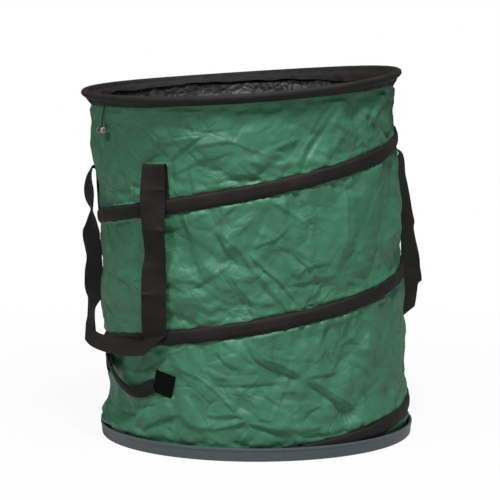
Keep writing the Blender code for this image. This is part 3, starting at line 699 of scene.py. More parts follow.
def plastic_finish(name, base, light, roughness=0.42):
    """Moulded plastic: a fine satin grain, scuffs and rubbed edges."""
    f = Finish(name, roughness)
    cloud = f.group(CLOUD, Vector=f.place, Scale=16.0)
    edge = f.group(EDGE, Grain=cloud["Fine"], Reach=0.52)["Mask"]
    streak = f.add("Mapping", {"Vector": f.place, "Scale": (9.0, 9.0, 160.0)}).outputs["Vector"]
    scuffs = f.ramp(f.grain(streak, 3.0, 5.0, 0.7), 0.60, BLACK, 0.74, WHITE)
    colour = f.mix(f.span(cloud["Coarse"], 0.0, 0.5), base, light)
    colour = f.mix(f.times(scuffs, 0.16), colour, (0.42, 0.44, 0.45))
    colour = f.mix(edge, colour, scaled(light, 1.7))
    f.surface({"Base Color": colour,
               "Roughness": f.span(cloud["Fine"], roughness - 0.10, roughness + 0.14)})
    f.bumps((scuffs, 0.10, 0.0002), (f.grain(f.place, 420.0, 2.0), 0.22, 0.00025))
    return f.material


def steel_finish(name, base, roughness=0.32):
    """Drawn or pressed steel with a brushed grain and darker spots."""
    f = Finish(name, roughness, 1.0)
    cloud = f.group(CLOUD, Vector=f.place, Scale=60.0)
    f.surface({"Base Color": f.ramp(cloud["Fine"], 0.32, scaled(base, 0.45), 0.58, base),
               "Roughness": f.span(cloud["Coarse"], roughness - 0.10, roughness + 0.20)})
    f.bumps((f.grain(f.place, 900.0, 3.0), 0.25, 0.0001))
    return f.material


def elastic_finish(name):
    """Braided elastic cord: slanting ribs round the cord."""
    f = Finish(name, 0.7)
    split = f.add("SeparateXYZ", {0: f.uv}).outputs
    along = f.times(split["X"], 2900.0)
    round_cord = f.times(split["Y"], 1818.0)
    ribs = f.times(f.maths("SINE", f.plus(along, round_cord)), f.maths("SINE", f.minus(along, round_cord)))
    ribs = f.plus(f.times(ribs, 0.5), 0.5)
    f.surface({"Base Color": f.ramp(ribs, 0.2, (0.012, 0.012, 0.012), 0.9, (0.045, 0.042, 0.040)),
               "Roughness": f.span(ribs, 0.75, 0.55)})
    f.bumps((ribs, 0.6, 0.0002))
    return f.material


GREEN = green_finish("green_coated_polyester", (0.036, 0.158, 0.084), (0.027, 0.128, 0.067))
LOOP_GREEN = green_finish("green_loop_tape", (0.075, 0.225, 0.140), (0.055, 0.180, 0.105), 1100.0)
LINING = lining_finish("black_lining_cloth")
TAPE = webbing_finish("black_binding_tape", (0.0165, 0.0150, 0.0135), (0.0095, 0.0088, 0.0080),
                      1300.0, 1000.0, stitches=(0.0035, 0.0215))
HEM = webbing_finish("black_hem_binding", (0.0180, 0.0172, 0.0160), (0.0095, 0.0090, 0.0085),
                     1500.0, 1200.0, stitches=(0.0030,))
WEBBING = webbing_finish("black_webbing", (0.0155, 0.0140, 0.0122), (0.0085, 0.0077, 0.0068), 620.0, 480.0)
PATCH = webbing_finish("black_patch_webbing", (0.0042, 0.0038, 0.0034), (0.0022, 0.0020, 0.0018),
                       620.0, 480.0, stitches=(0.0035, 0.0355), sheen=0.0, gloss=0.05)
PLASTIC = plastic_finish("grey_tray_plastic", (0.043, 0.060, 0.067), (0.060, 0.079, 0.086))
TOGGLE = plastic_finish("toggle_plastic", (0.060, 0.028, 0.028), (0.095, 0.050, 0.048), 0.30)
TOGGLE_END = plastic_finish("toggle_end_plastic", (0.16, 0.15, 0.14), (0.26, 0.25, 0.24), 0.35)
STEEL = steel_finish("bright_steel", (0.62, 0.62, 0.62))
SPRING_STEEL = steel_finish("spring_wire_steel", (0.42, 0.42, 0.44))
ELASTIC = elastic_finish("black_elastic_cord")


# Fabric wall: its mesh, closest at one angle, and how far it may buckle, sink in and stand out
WALL_COLUMNS = 206
WALL_ROWS = 118
WALL_SEAM_ANGLE = 70.0
FINEST_ANGLE = 243.0
FINENESS = 0.50
SLACK = 0.030
FRAMES = 22
MOST_BUCKLE = 0.0026
HIGHEST = 0.0090
UNDER_STRAPS = 0.0030
PRESSED_PLACES = (
    (203.0, 215.0, 0.185, 0.480),
    (146.0, 160.0, 0.185, 0.470),
    (150.0, 212.0, 0.155, 0.205),
    (162.0, 208.0, 0.095, 0.150),
    (332.0, 344.0, 0.180, 0.530),
    (386.0, 398.0, 0.180, 0.540),
    (338.0, 392.0, 0.185, 0.240),
    (175.0, 189.0, 0.500, 0.565),
    (355.0, 369.0, 0.500, 0.565),
)
DEPTH_HEIGHTS = (0.0, 0.018, 0.03, 0.06, 0.53, 0.555, 0.60)
DEEPEST = (0.0008, 0.0010, 0.0022, 0.0060, 0.0060, 0.0008, 0.0008)
STRAIGHT_ANGLE = 155.0
STRAIGHT_SPREAD = 24.0
STRAIGHT_FROM = 0.40
STRAIGHT_MOST = 0.0012
BULGE = 0.0050
BULGE_ANGLE = 158.0
BULGE_SPREAD = 17.0
BULGE_HEIGHT = 0.031
BULGE_REACH = 0.010

# Where the wall is held: below and above two heights, along the tape, and under the webbing that is sewn
# to it, by the middle's angle and the lowest and highest places
FREE_FROM = 0.021
FREE_TO = 0.568
SEWN_SPREAD = 4.6
SEWN_ENDS = (
    (209.0, 0.40, 0.482),
    (153.0, 0.37, 0.456),
    (338.0, 0.46, 0.52),
    (32.0, 0.48, 0.53),
    (162.0, 0.1155, 0.1535),
    (207.2, 0.102, 0.140),
)

# Creases of the fabric as the photograph shows them: (x, y) of each bend in its 500 pixels,
# then how wide and how deep each is, in millimetres; a negative depth is a ridge
TOP_CREASES = (
    (((116, 111), (137, 134), (150, 135)), 3.5, 1.1),
    (((127, 115), (150, 138), (172, 162)), 3.0, 1.0),
    (((115, 137), (128, 158), (139, 176)), 3.0, 0.9),
    (((186, 121), (194, 134.5)), 2.4, 2.0),
    (((245, 121), (240, 132.5), (232.5, 142.5)), 2.4, 2.0),
    (((177.5, 160), (197.5, 146), (230, 141), (250, 149), (272.5, 157.5)), 6.0, -1.6),
    (((246, 161), (257.5, 164), (267.5, 169)), 3.0, -1.2),
    (((270, 151), (287.5, 144), (302.5, 139)), 4.0, -1.3),
    (((275, 105), (287.5, 117.5), (294, 129)), 3.5, 1.2),
    (((341, 101), (325, 131), (312.5, 150), (301, 171)), 5.5, 4.2),
    (((333, 101), (317, 131), (305, 148), (296, 166)), 6.0, -2.0),
    (((361, 105), (355, 120), (359, 140), (355, 147)), 4.0, 2.2),
    (((374, 102), (367.5, 122.5), (369, 140)), 3.5, 1.6),
    (((352, 103), (340, 128), (331, 152)), 5.0, -1.8),
    (((160, 120), (205, 132), (240, 128)), 4.0, 0.9),
    (((196, 170), (225, 169)), 4.0, 1.0),
)
MIDDLE_CREASES = (
    (((179, 215), (186, 230), (190, 250), (200, 276)), 4.5, 2.6),
    (((183, 213), (191, 232), (196, 250)), 4.0, -1.6),
    (((194, 255), (201, 277)), 2.6, 1.8),
    (((216, 231), (225, 250), (240, 267.5)), 3.2, 3.0),
    (((220, 230), (230, 243), (246, 256)), 3.0, -1.5),
    (((242.5, 257.5), (252.5, 275), (265, 290)), 2.8, 2.0),
    (((245, 250), (265, 270), (280, 282.5), (300, 307.5)), 3.0, -2.3),
    (((229, 272.5), (240, 290), (257.5, 310)), 2.8, -1.7),
    (((230, 287.5), (237.5, 310)), 2.8, 1.4),
    (((250, 250), (265, 242.5), (275, 240), (290, 226)), 3.2, -1.4),
    (((275, 246), (290, 252.5), (307.5, 269), (322.5, 265), (330, 269)), 2.8, 1.9),
    (((300, 197.5), (310, 225), (307.5, 240), (299, 250)), 3.2, 1.7),
    (((359, 245), (347.5, 260), (337.5, 279)), 2.6, 2.0),
    (((295, 280), (302.5, 270), (315, 266)), 3.0, -1.6),
    (((312.5, 275), (319, 282.5), (316, 290)), 2.6, 1.3),
    (((175, 281), (195, 281), (210, 287.5)), 3.0, -1.3),
    (((176, 304), (186, 320)), 3.0, 1.2),
    (((107.5, 269), (122, 279), (137.5, 291)), 3.0, 1.9),
    (((116, 237), (120, 255)), 3.0, 1.3),
    (((129, 252), (127, 275)), 2.2, 1.0),
    (((134, 252), (131, 275)), 2.2, 1.0),
    (((345, 185), (344, 220), (342, 252)), 9.0, -2.4),
    (((381, 172), (384, 182)), 2.8, 1.4),
    (((377.5, 240), (380, 270)), 3.2, -1.4),
    (((322, 282), (327, 297)), 2.6, 1.2),
    (((270, 205), (262, 228), (254, 246)), 4.0, 1.0),
)
LOWER_CREASES = (
    (((165, 361), (200, 377.5), (211, 386), (225, 400), (240, 415)), 3.0, -1.5),
    (((215, 351), (226, 364), (240, 371)), 3.4, 3.0),
    (((245, 337.5), (250, 352.5), (254, 359), (265, 366), (280, 372.5), (302.5, 379)), 3.0, 3.2),
    (((256, 356), (280, 365), (302.5, 376)), 3.0, -2.2),
    (((302.5, 379), (322.5, 394), (340, 406), (360, 420)), 3.8, 5.2),
    (((306, 376), (326, 390), (346, 402), (364, 414)), 4.0, -2.4),
    (((302.5, 377.5), (322, 374), (340, 372.5)), 3.2, -1.6),
    (((316, 321), (319, 326), (317.5, 342.5)), 2.4, 1.7),
    (((324, 350), (334, 367.5)), 3.0, 1.3),
    (((350, 320), (352, 340), (354, 360)), 3.5, 1.8),
    (((345, 322), (350, 345)), 3.0, -1.3),
    (((210, 385), (240, 386), (270, 385), (290, 384)), 3.0, 1.4),
    (((260, 387.5), (265, 397.5), (280, 407.5)), 3.0, 1.5),
    (((294, 390), (296, 410)), 2.6, 1.3),
    (((142.5, 430), (162.5, 420), (182.5, 415)), 3.2, 3.4),
    (((200, 430), (215, 431), (237.5, 426), (250, 421)), 3.2, 3.8),
    (((202.5, 416), (237.5, 415), (247.5, 419)), 3.0, -1.8),
    (((247.5, 417.5), (250, 425), (270, 430), (295, 436)), 3.2, 3.8),
    (((250, 426), (240, 440), (236, 447.5)), 2.6, 1.8),
    (((255, 417.5), (272.5, 421)), 2.6, -1.4),
    (((296, 437.5), (315, 436), (340, 432.5), (360, 427.5)), 3.2, 1.8),
    (((302.5, 422.5), (310, 412.5), (320, 405)), 2.8, 1.5),
    (((166, 425), (177.5, 440), (190, 445)), 3.0, 2.0),
    (((201, 430), (202.5, 440), (220, 445)), 2.8, 1.8),
    (((360, 422.5), (366, 430)), 2.6, 1.4),
    (((118, 408), (132, 412), (128, 421)), 3.2, 2.6),
    (((106, 412), (118, 428), (134, 433)), 3.6, -3.0),
    (((139, 399), (146, 406), (160, 404)), 3.0, 1.8),
    (((372, 345), (378, 372), (376, 395)), 3.5, 1.6),
    (((362, 380), (368, 400)), 3.0, -1.4),
)

# How the creases, the facets between them and the folds left by packing are shaped
DEEPENED = 2.3
EVENED_DEPTH = 0.75
NARROWEST = 0.0029
GENTLE_SIDE = 3.4
STEEP_SIDE = 0.34
CREASE_END = 0.22
LAID_REACH = 14
FACETS = ((21, 0.0076), (43, 0.0037))
FACET_TOP = 0.62
FACET_SHIFT = 0.42
FACET_WAVE = 2.6
FOLDS = 330
FOLD_SEED = 5
FOLD_STEEPNESS = 0.34
FOLD_END = 0.45
FOLD_HEIGHTS = (0.02, 0.56)
FOLD_LENGTHS = (0.045, 0.170)
FOLD_WIDTHS = (0.008, 0.034)
FOLD_RISES = (0.05, 0.25)
PUCKER_RISE = 0.0013
PUCKER_LENGTHS = (0.0135, 0.0175, 0.0240, 0.0340)
PUCKER_START = 0.0150
PUCKERED_BELOW = 0.016
PUCKERED_ABOVE = 0.012
PUCKER_SHARE_ABOVE = 0.6
FOOT_RISE = 0.0009
FOOT_HEIGHT = 0.034
FOOT_REACH = 0.014
FOOT_WAVES = (0.031, 0.047)


def seen_at(x, y):
    """Angle and height on the bag of a point of the 500-pixel picture."""
    turn = Euler((math.pi / 2 - CAMERA_PITCH, 0.0, VIEW_TURN)).to_matrix()
    middle = PICTURE_PIXELS / 2
    way = turn @ Vector(((x - middle) / FOCAL_PIXELS, (middle - y) / FOCAL_PIXELS, -1.0))
    start = facing_camera(CAMERA_SIDE, CAMERA_BACK, CAMERA_HEIGHT)
    reach = np.linspace(NEAREST_SEEN, FARTHEST_SEEN, 700)[:, None]
    points = np.array(start)[None] + reach * np.array(way)[None]
    angle, height, radius = bag_places(points)
    inside = radius < np.interp(height, WALL_HEIGHTS, WALL_RADII) - pinch(angle, height)
    first = int(np.argmax(inside)) if inside.any() else int(np.argmin(radius))
    return float(angle[first]), float(height[first])


def crease(arc, height, path, width, depth):
    """One crease: steep on one side of its line and gentle on the other, fading at its ends."""
    steps = np.linalg.norm(np.diff(path, axis=0), axis=1)
    width = max(width, NARROWEST)
    near = np.full(arc.shape, np.inf)
    side = np.zeros(arc.shape)
    place = np.zeros(arc.shape)
    done = 0.0
    for (x0, y0), (x1, y1), step in zip(path[:-1], path[1:], steps):
        dx, dy = (x1 - x0) / step, (y1 - y0) / step
        run = np.clip((arc - x0) * dx + (height - y0) * dy, 0.0, step)
        away_x = arc - x0 - run * dx
        away_y = height - y0 - run * dy
        away = np.hypot(away_x, away_y)
        closer = away < near
        near = np.where(closer, away, near)
        side = np.where(closer, away_x * dy - away_y * dx, side)
        place = np.where(closer, (done + run) / steps.sum(), place)
        done += step
    ends = eased(rising(np.minimum(place, 1.0 - place), 0.0, CREASE_END))
    gentle = (side > 0.0) == (depth > 0.0)
    return -depth * ends * np.exp(-near / (width * np.where(gentle, GENTLE_SIDE, STEEP_SIDE)))


def fold(arc, height, path, width, depth):
    """One straight fold: four flat sides that meet along its line, two of them steeper."""
    (x0, y0), (x1, y1) = path
    length = math.hypot(x1 - x0, y1 - y0)
    dx, dy = (x1 - x0) / length, (y1 - y0) / length
    along = ((arc - x0) * dx + (height - y0) * dy) / length
    side = (arc - x0) * dy - (height - y0) * dx
    gentle = (side > 0.0) == (depth < 0.0)
    away = np.abs(side) / np.where(gentle, 1.0, FOLD_STEEPNESS)
    taper = rising(np.minimum(along, 1.0 - along), 0.0, FOLD_END)
    return depth * np.clip(taper - away / width, 0.0, 1.0)


def lay(total, arc, height, kind, path, width, depth):
    """Adds a crease or a fold to the places near it, also where its arc counts on past a full turn."""
    path = np.array(path)
    low = path.min(axis=0) - LAID_REACH * width
    high = path.max(axis=0) + LAID_REACH * width
    for whole in (-1, 0, 1):
        shifted = arc + whole * WALL_ROUND
        inside = (shifted > low[0]) & (shifted < high[0]) & (height > low[1]) & (height < high[1])
        if inside.any():
            total[inside] += kind(shifted[inside], height[inside], path, width, depth)


def packing_folds():
    """Straight folds all over the wall, each with its two ends, its width and its rise."""
    source = np.random.default_rng(FOLD_SEED)
    for _ in range(FOLDS):
        x = source.uniform(0.0, 2 * np.pi) * WALL_RADIUS
        y = source.uniform(*FOLD_HEIGHTS)
        heading = source.choice((-1.0, 1.0)) * source.normal(0.75, 0.45)
        length = source.uniform(*FOLD_LENGTHS)
        width = source.uniform(*FOLD_WIDTHS)
        rise = source.choice((-1.0, 1.0)) * width * source.uniform(*FOLD_RISES)
        end = (x + math.cos(heading) * length, y + math.sin(heading) * length)
        yield ((x, y), end), width, rise


def facets(angle, height, columns):
    """Flat facets with sharp edges between them, so many round the bag, as crumpled cloth has."""
    cell = WALL_ROUND / columns
    rows = int(math.ceil(FACET_TOP / cell)) + 4
    heights = np.random.default_rng(columns).uniform(-1.0, 1.0, (columns, rows))
    turn = np.radians(angle)
    plain = round_place(turn, WALL_RADIUS, height)
    across = turn * WALL_RADIUS / cell + FACET_SHIFT * ripple(plain, FACET_WAVE * cell, columns + 1)
    up = height / cell + 1.5 + FACET_SHIFT * ripple(plain, FACET_WAVE * cell, columns + 2)
    column = np.floor(across).astype(int)
    row = np.clip(np.floor(up).astype(int), 0, rows - 2)
    x, y = across - column, up - row
    here, right = column % columns, (column + 1) % columns
    low_left, low_right = heights[here, row], heights[right, row]
    high_left, high_right = heights[here, row + 1], heights[right, row + 1]
    one_side = low_left + (low_right - low_left) * x + (high_right - low_right) * y
    other_side = low_left + (high_left - low_left) * y + (high_right - high_left) * x
    return np.where(x > y, one_side, other_side)


def puckers(arc, away):
    """Gathers that run down from the tape, and shorter ones up from it, by how far the band is away."""
    strength = 0.55 + 0.45 * np.sin(arc * 17.0 + 1.0) * np.sin(arc * 7.3)
    waves = sum(2.0 * np.abs(np.sin(arc * np.pi / length + length * 900.0 + away * 20.0)) - 1.2
                for length in PUCKER_LENGTHS)
    below = np.exp(-np.abs(away + PUCKER_START) / PUCKERED_BELOW) * (away < -TAPE_HALF_WIDTH)
    above = np.exp(-np.abs(away - PUCKER_START) / PUCKERED_ABOVE) * (away > TAPE_HALF_WIDTH)
    return PUCKER_RISE * waves * strength * (below + PUCKER_SHARE_ABOVE * above)


def gather(angle, height):
    """All the creases, the folds and facets left by packing, and the puckers along the seams."""
    arc = np.radians(angle) * WALL_RADIUS
    total = np.zeros(arc.shape)
    for corners, width, depth in TOP_CREASES + MIDDLE_CREASES + LOWER_CREASES:
        places = [seen_at(x, y) for x, y in corners]
        path = [(math.radians(turn % 360.0) * WALL_RADIUS, up) for turn, up in places]
        rise = math.copysign(abs(depth) ** EVENED_DEPTH, depth)
        lay(total, arc, height, crease, path, width / 1000.0, DEEPENED * rise / 1000.0)
    for path, width, rise in packing_folds():
        lay(total, arc, height, fold, path, width, rise)
    calm = 0.75 + 0.45 * ripple(round_place(np.radians(angle), WALL_RADIUS, height), 0.20, 61)
    calm = np.clip(calm, 0.25, 1.25)
    for columns, rise in FACETS:
        total += rise * calm * facets(angle, height, columns)
    total += puckers(arc, band_distance(angle % 360.0, height))
    foot = np.exp(-np.abs(height - FOOT_HEIGHT) / FOOT_REACH)
    short, long = (arc * 2 * np.pi / length for length in FOOT_WAVES)
    return total + FOOT_RISE * foot * (np.sin(short) + np.sin(long + 2.0))


def crosses_seam(angle, low, high):
    """Whether the spiral band's tape passes between two heights."""
    for turn in range(BAND_LAPS):
        onward = angle + 360.0 * turn
        if BAND_START_ANGLE - BAND_END_MARGIN <= onward <= BAND_END_ANGLE + BAND_END_MARGIN:
            middle = band_height(onward)
            if low < middle + SEAM_MARGIN and high > middle - SEAM_MARGIN:
                return True
    return False


def buckle_at(column, heights, row):
    """How far the wall stands out at a row of a column: never beside a seam or a flat place."""
    angle = 360.0 * column / COLUMNS
    height = heights[row]
    if row in (0, len(heights) - 1):
        return 0.0
    for near in (angle - 360.0 / COLUMNS, angle, angle + 360.0 / COLUMNS):
        if crosses_seam(near % 360.0, heights[row - 1], heights[row + 1]):
            return 0.0
    for first, last, low, high in FLAT_PLACES:
        for onward in (angle, angle + 360.0):
            if first <= onward <= last and low <= height <= high:
                return 0.0
    waves = 0.0
    for around, up, start in BUCKLE_WAVES:
        waves += math.cos(math.radians(around * angle + start + 360.0 * up * height / HOOP_HEIGHT))
    return BUCKLE_RISE * max(0.0, min(1.0, BUCKLE_BASE + waves / BUCKLE_SHARE))


def buckles(angle, height):
    """The buckles at any places of the wall, straight between the solid's rows and columns."""
    heights = sorted([z for z in WALL_HEIGHTS if z < BUCKLE_TOP] + list(BUCKLE_ROWS))
    grid = np.array([[buckle_at(column, heights, row) for column in range(COLUMNS)]
                     for row in range(len(heights))])
    across = (angle % 360.0) * COLUMNS / 360.0
    column = np.floor(across).astype(int) % COLUMNS
    onward = (column + 1) % COLUMNS
    x = across - np.floor(across)
    up = np.interp(height, heights, np.arange(len(heights)))
    row = np.clip(np.floor(up).astype(int), 0, len(heights) - 2)
    y = up - row
    low = grid[row, column] * (1 - x) + grid[row, onward] * x
    high = grid[row + 1, column] * (1 - x) + grid[row + 1, onward] * x
    return low * (1 - y) + high * y


def sewn_places(angle, height):
    """0 where the fabric is sewn down or held, rising to 1 where it is free."""
    free = rising(np.abs(band_distance(angle, height)), TAPE_HALF_WIDTH, 0.004)
    free = np.minimum(free, falling(height, FREE_TO, 0.004))
    free = np.minimum(free, rising(height, FREE_FROM, 0.005))
    for middle, low, high in SEWN_ENDS:
        across = rising(np.abs(angle_from(angle, middle)), SEWN_SPREAD, 1.2)
        up = rising(np.maximum(low - height, height - high), 0.0, 0.005)
        free = np.minimum(free, np.maximum(across, up))
    return free


def most_height(angle, height):
    """How far the fabric may stand out: little where a strap, a toggle or a patch lies on it."""
    most = np.full(angle.shape, HIGHEST)
    for first, last, low, high in PRESSED_PLACES:
        away = np.abs(angle_from(angle, (first + last) / 2))
        across = np.clip(((last - first) / 2 - away) / 2.0 + 0.5, 0.0, 1.0)
        up = np.clip(np.minimum(height - low, high - height) / 0.008 + 0.5, 0.0, 1.0)
        most = np.minimum(most, HIGHEST + (UNDER_STRAPS - HIGHEST) * across * up)
    away = np.abs(angle_from(angle, STRAIGHT_ANGLE))
    straight = falling(away, STRAIGHT_SPREAD, 6.0) * rising(height, STRAIGHT_FROM, 0.04)
    return np.minimum(most, HIGHEST + (STRAIGHT_MOST - HIGHEST) * straight)


def wrinkles(angle, height):
    """How far the fabric is from its plain shape, within what it may sink in and stand out."""
    away = angle_from(angle, BULGE_ANGLE)
    bulge = np.exp(-(away / BULGE_SPREAD) ** 2) * np.exp(-((height - BULGE_HEIGHT) / BULGE_REACH) ** 2)
    offset = gather(angle, height) * sewn_places(angle, height) + BULGE * bulge
    deepest = np.interp(height, DEPTH_HEIGHTS, DEEPEST)
    highest = most_height(angle, height)
    return np.where(offset < 0.0, -deepest * np.tanh(-offset / deepest), highest * np.tanh(offset / highest))


def let_slack(wall):
    """Lets the fabric out a little between its seams, so that it buckles as gathered cloth does."""
    before = mesh_points(wall)
    angle, height, _ = bag_places(before)
    group = wall.vertex_groups.new(name="sewn")
    group.add([int(i) for i in np.flatnonzero(sewn_places(angle, height) < 0.5)], 1.0, "REPLACE")
    modifier = wall.modifiers.new("Cloth", "CLOTH")
    settings = modifier.settings
    settings.quality = 6
    settings.mass = 0.10
    settings.tension_stiffness = 12.0
    settings.compression_stiffness = 12.0
    settings.shear_stiffness = 6.0
    settings.bending_stiffness = 0.06
    settings.tension_damping = 8.0
    settings.compression_damping = 8.0
    settings.air_damping = 2.0
    settings.shrink_min = -SLACK
    settings.vertex_group_mass = "sewn"
    settings.pin_stiffness = 1.0
    settings.effector_weights.gravity = 0.25
    modifier.collision_settings.use_collision = False
    modifier.collision_settings.use_self_collision = False
    modifier.point_cache.frame_start = 1
    modifier.point_cache.frame_end = FRAMES
    for step in range(1, FRAMES + 1):
        bpy.context.scene.frame_set(step)
    apply_modifiers(wall)
    wall.vertex_groups.clear()
    bpy.context.scene.frame_set(1)
    moved = mesh_points(wall) - before
    reach = np.maximum(np.linalg.norm(moved, axis=1, keepdims=True), 1e-9)
    set_points(wall, before + moved * np.tanh(reach / MOST_BUCKLE) * MOST_BUCKLE / reach)


def build_wall():
    even = np.linspace(0.0, 2 * np.pi, WALL_COLUMNS + 1)
    lag = math.radians(FINEST_ANGLE - WALL_SEAM_ANGLE)
    angles = WALL_SEAM_ANGLE + np.degrees(even - FINENESS * (np.sin(even - lag) + math.sin(lag)))
    heights = np.linspace(WALL_BOTTOM, WALL_TOP, WALL_ROWS + 1)
    angle, height = np.meshgrid(angles, heights)
    plain = upright(angle, height)
    free = sewn_places(angle % 360.0, height)
    start = (0.0010 * ripple(plain, 0.060, 11) + 0.0005 * ripple(plain, 0.020, 12)) * free
    points = on_wall(angle, height, start + buckles(angle, height))
    wall = cloth("bag_wall_fabric", points, (WALL_ROUND, WALL_TOP - WALL_BOTTOM), GREEN, seam=True)
    let_slack(wall)
    finer = wall.modifiers.new("Finer", "SUBSURF")
    finer.levels = 1
    finer.render_levels = 1
    apply_modifiers(wall)
    points = mesh_points(wall)
    angle, height, _ = bag_places(points)
    outward = round_place(np.radians(angle), 1.0, 0.0)
    set_points(wall, points + outward * wrinkles(angle, height)[:, None])
    choose(wall)
    bpy.ops.object.shade_smooth()
    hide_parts("bag_wall")
    shortens(wall, "base")


# Lining and floor
LINING_BOTTOM = 0.0090
LINING_TOP = 0.5790
LINING_RADIUS = 0.245
LINING_LENGTH = 0.563
LINING_DEPTH = 0.0018
LINING_SLACK = 0.0068
LINING_CRUMPLE = 0.0030
LINING_RIPPLE = 0.0015
FLOOR_RADIUS = 0.2455
FLOOR_RISE = 0.0008
FLOOR_CRUMPLE = 0.0011
FLOOR_RIPPLE = 0.0005
LOWEST_RISE = 0.0003
RIVETED = 0.006


def build_lining():
    angles = WALL_SEAM_ANGLE + np.linspace(0.0, 360.0, 300 + 1)
    heights = np.linspace(LINING_BOTTOM, LINING_TOP, 110 + 1)
    angle, height = np.meshgrid(angles, heights)
    height = height + LINING_RISE * (1.0 - facing_share(angle)) * rising(height, 0.54, 0.039)
    depth = -LINING_DEPTH - LINING_SLACK * rising(height, 0.018, 0.03) * falling(height, 0.556, 0.02)
    plain = upright(angle, height)
    room = rising(height, 0.012, 0.02) * falling(height, 0.566, 0.02)
    depth = depth - LINING_CRUMPLE * room * crumple(plain, 0.055, 2)
    depth = depth - LINING_RIPPLE * room * (1 + ripple(plain, 0.09, 5))
    size = (2 * math.pi * LINING_RADIUS, LINING_LENGTH)
    lining = cloth("lining_fabric", on_wall(angle, height, depth), size, LINING, seam=True)
    with editing(lining):
        bpy.ops.mesh.flip_normals()
    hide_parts("inner_lining")
    shortens(lining, "base")


def build_floor():
    """The black floor panel, a little rumpled between its rivets."""
    turns = np.linspace(0.0, 2 * np.pi, 120 + 1)
    radii = np.linspace(0.0, FLOOR_RADIUS, 30 + 1)
    turn, radius = np.meshgrid(turns, radii)
    flat = round_place(turn, radius, 0.0)
    rise = FLOOR_RISE + FLOOR_CRUMPLE * crumple(flat, 0.060, 4) + FLOOR_RIPPLE * ripple(flat, 0.08, 6)
    rise = np.maximum(rise, LOWEST_RISE)
    for degrees in RIVET_TURNS:
        rivet = outward_at(degrees) * RIVET_CIRCLE
        away = np.hypot(flat[..., 0] - rivet[0], flat[..., 1] - rivet[1])
        rise = rise * rising(away, RIVETED, 0.02)
    rise = np.where(radius < 0.0001, rise[0, 0], rise)
    flat[..., 2] = FLOOR_HEIGHT + rise
    panel = cloth("floor_fabric", flat[:, ::-1], (1.0, 0.25), LINING, seam=True)
    with editing(panel):
        bpy.ops.mesh.remove_doubles(threshold=0.00001)
        bpy.ops.mesh.normals_make_consistent(inside=False)
    if panel.data.polygons[0].normal.z < 0:
        panel.data.flip_normals()
    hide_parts("bag_floor")
    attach(panel, "base")


# Spiral band: the tape stands up over the spring, between two flat edges that are sewn down
TAPE_LIFT = 0.0011
TAPE_CROWN = 0.0024
TAPE_CROWN_EDGE = 0.0118
TAPE_CROWN_SLOPE = 0.0052
TAPE_DOME = 0.0013
TAPE_FLAT_FROM = 0.008
TAPE_FLAT_REACH = 0.0045
TAPE_EDGE_LIFT = 0.0006
TAPE_EDGE_RIPPLE = 0.0007
TAPE_RIPPLE = 0.0004
SPRING_LIFT = 0.0024
SPRING_RADIUS = 0.0015


def build_band():
    angles = np.linspace(BAND_START_ANGLE, BAND_END_ANGLE, 760)
    middle = band_height(angles)
    across = np.linspace(-TAPE_HALF_WIDTH, TAPE_HALF_WIDTH, 17)[:, None]
    crown = eased(falling(np.abs(across), TAPE_CROWN_EDGE, TAPE_CROWN_SLOPE))
    dome = TAPE_CROWN * crown + TAPE_DOME * (1.0 - (across / TAPE_HALF_WIDTH) ** 2)
    height = np.clip(middle[None] + across, TAPE_LOWEST, TAPE_HIGHEST)
    plain = upright(angles[None], height)
    edge = rising(np.abs(across), TAPE_FLAT_FROM, TAPE_FLAT_REACH)
    lift = TAPE_LIFT + dome + edge * TAPE_EDGE_LIFT * (1 + ripple(plain, 0.022, 21))
    lift = lift + TAPE_RIPPLE * ripple(plain, 0.03, 22)
    height = height + edge * TAPE_EDGE_RIPPLE * np.sign(across) * ripple(plain, 0.030, 23)
    points = on_wall(angles[None], np.clip(height, TAPE_LOWEST, TAPE_HIGHEST), lift)
    length = math.radians(BAND_END_ANGLE - BAND_START_ANGLE) * WALL_RADIUS
    tape = cloth("spiral_tape_cover", points, (length, 2 * TAPE_HALF_WIDTH), TAPE, thickness=0.0008,
                 degrees=50.0)
    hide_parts("spiral_tape")
    shortens(tape, "base")

    path = on_wall(angles[::2], middle[::2], SPRING_LIFT)
    spring = tube("spiral_spring_wire", path, SPRING_RADIUS, SPRING_STEEL, sides=8)
    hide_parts("spiral_spring")
    shortens(spring, "base")


# Rim hem: radius and height of its skirt outside and its facing inside, with the roll over the hoop between
HEM_SKIRT = ((0.2530, -0.0152), (0.2549, -0.0134), (0.2566, -0.0116), (0.2580, -0.0098), (0.2590, -0.0078))
HEM_FACING = ((0.2546, -0.0035), (0.2520, -0.0065), (0.2507, -0.0095), (0.2499, -0.0125), (0.2493, -0.0155),
              (0.2489, -0.0180), (0.2486, -0.0205))
HEM_RADIUS = 0.26
ROLL_START = -38.0
ROLL_END = 176.0
SKIRT_SHARE = 0.22
FACING_FROM = 0.70
FACING_REACH = 0.30


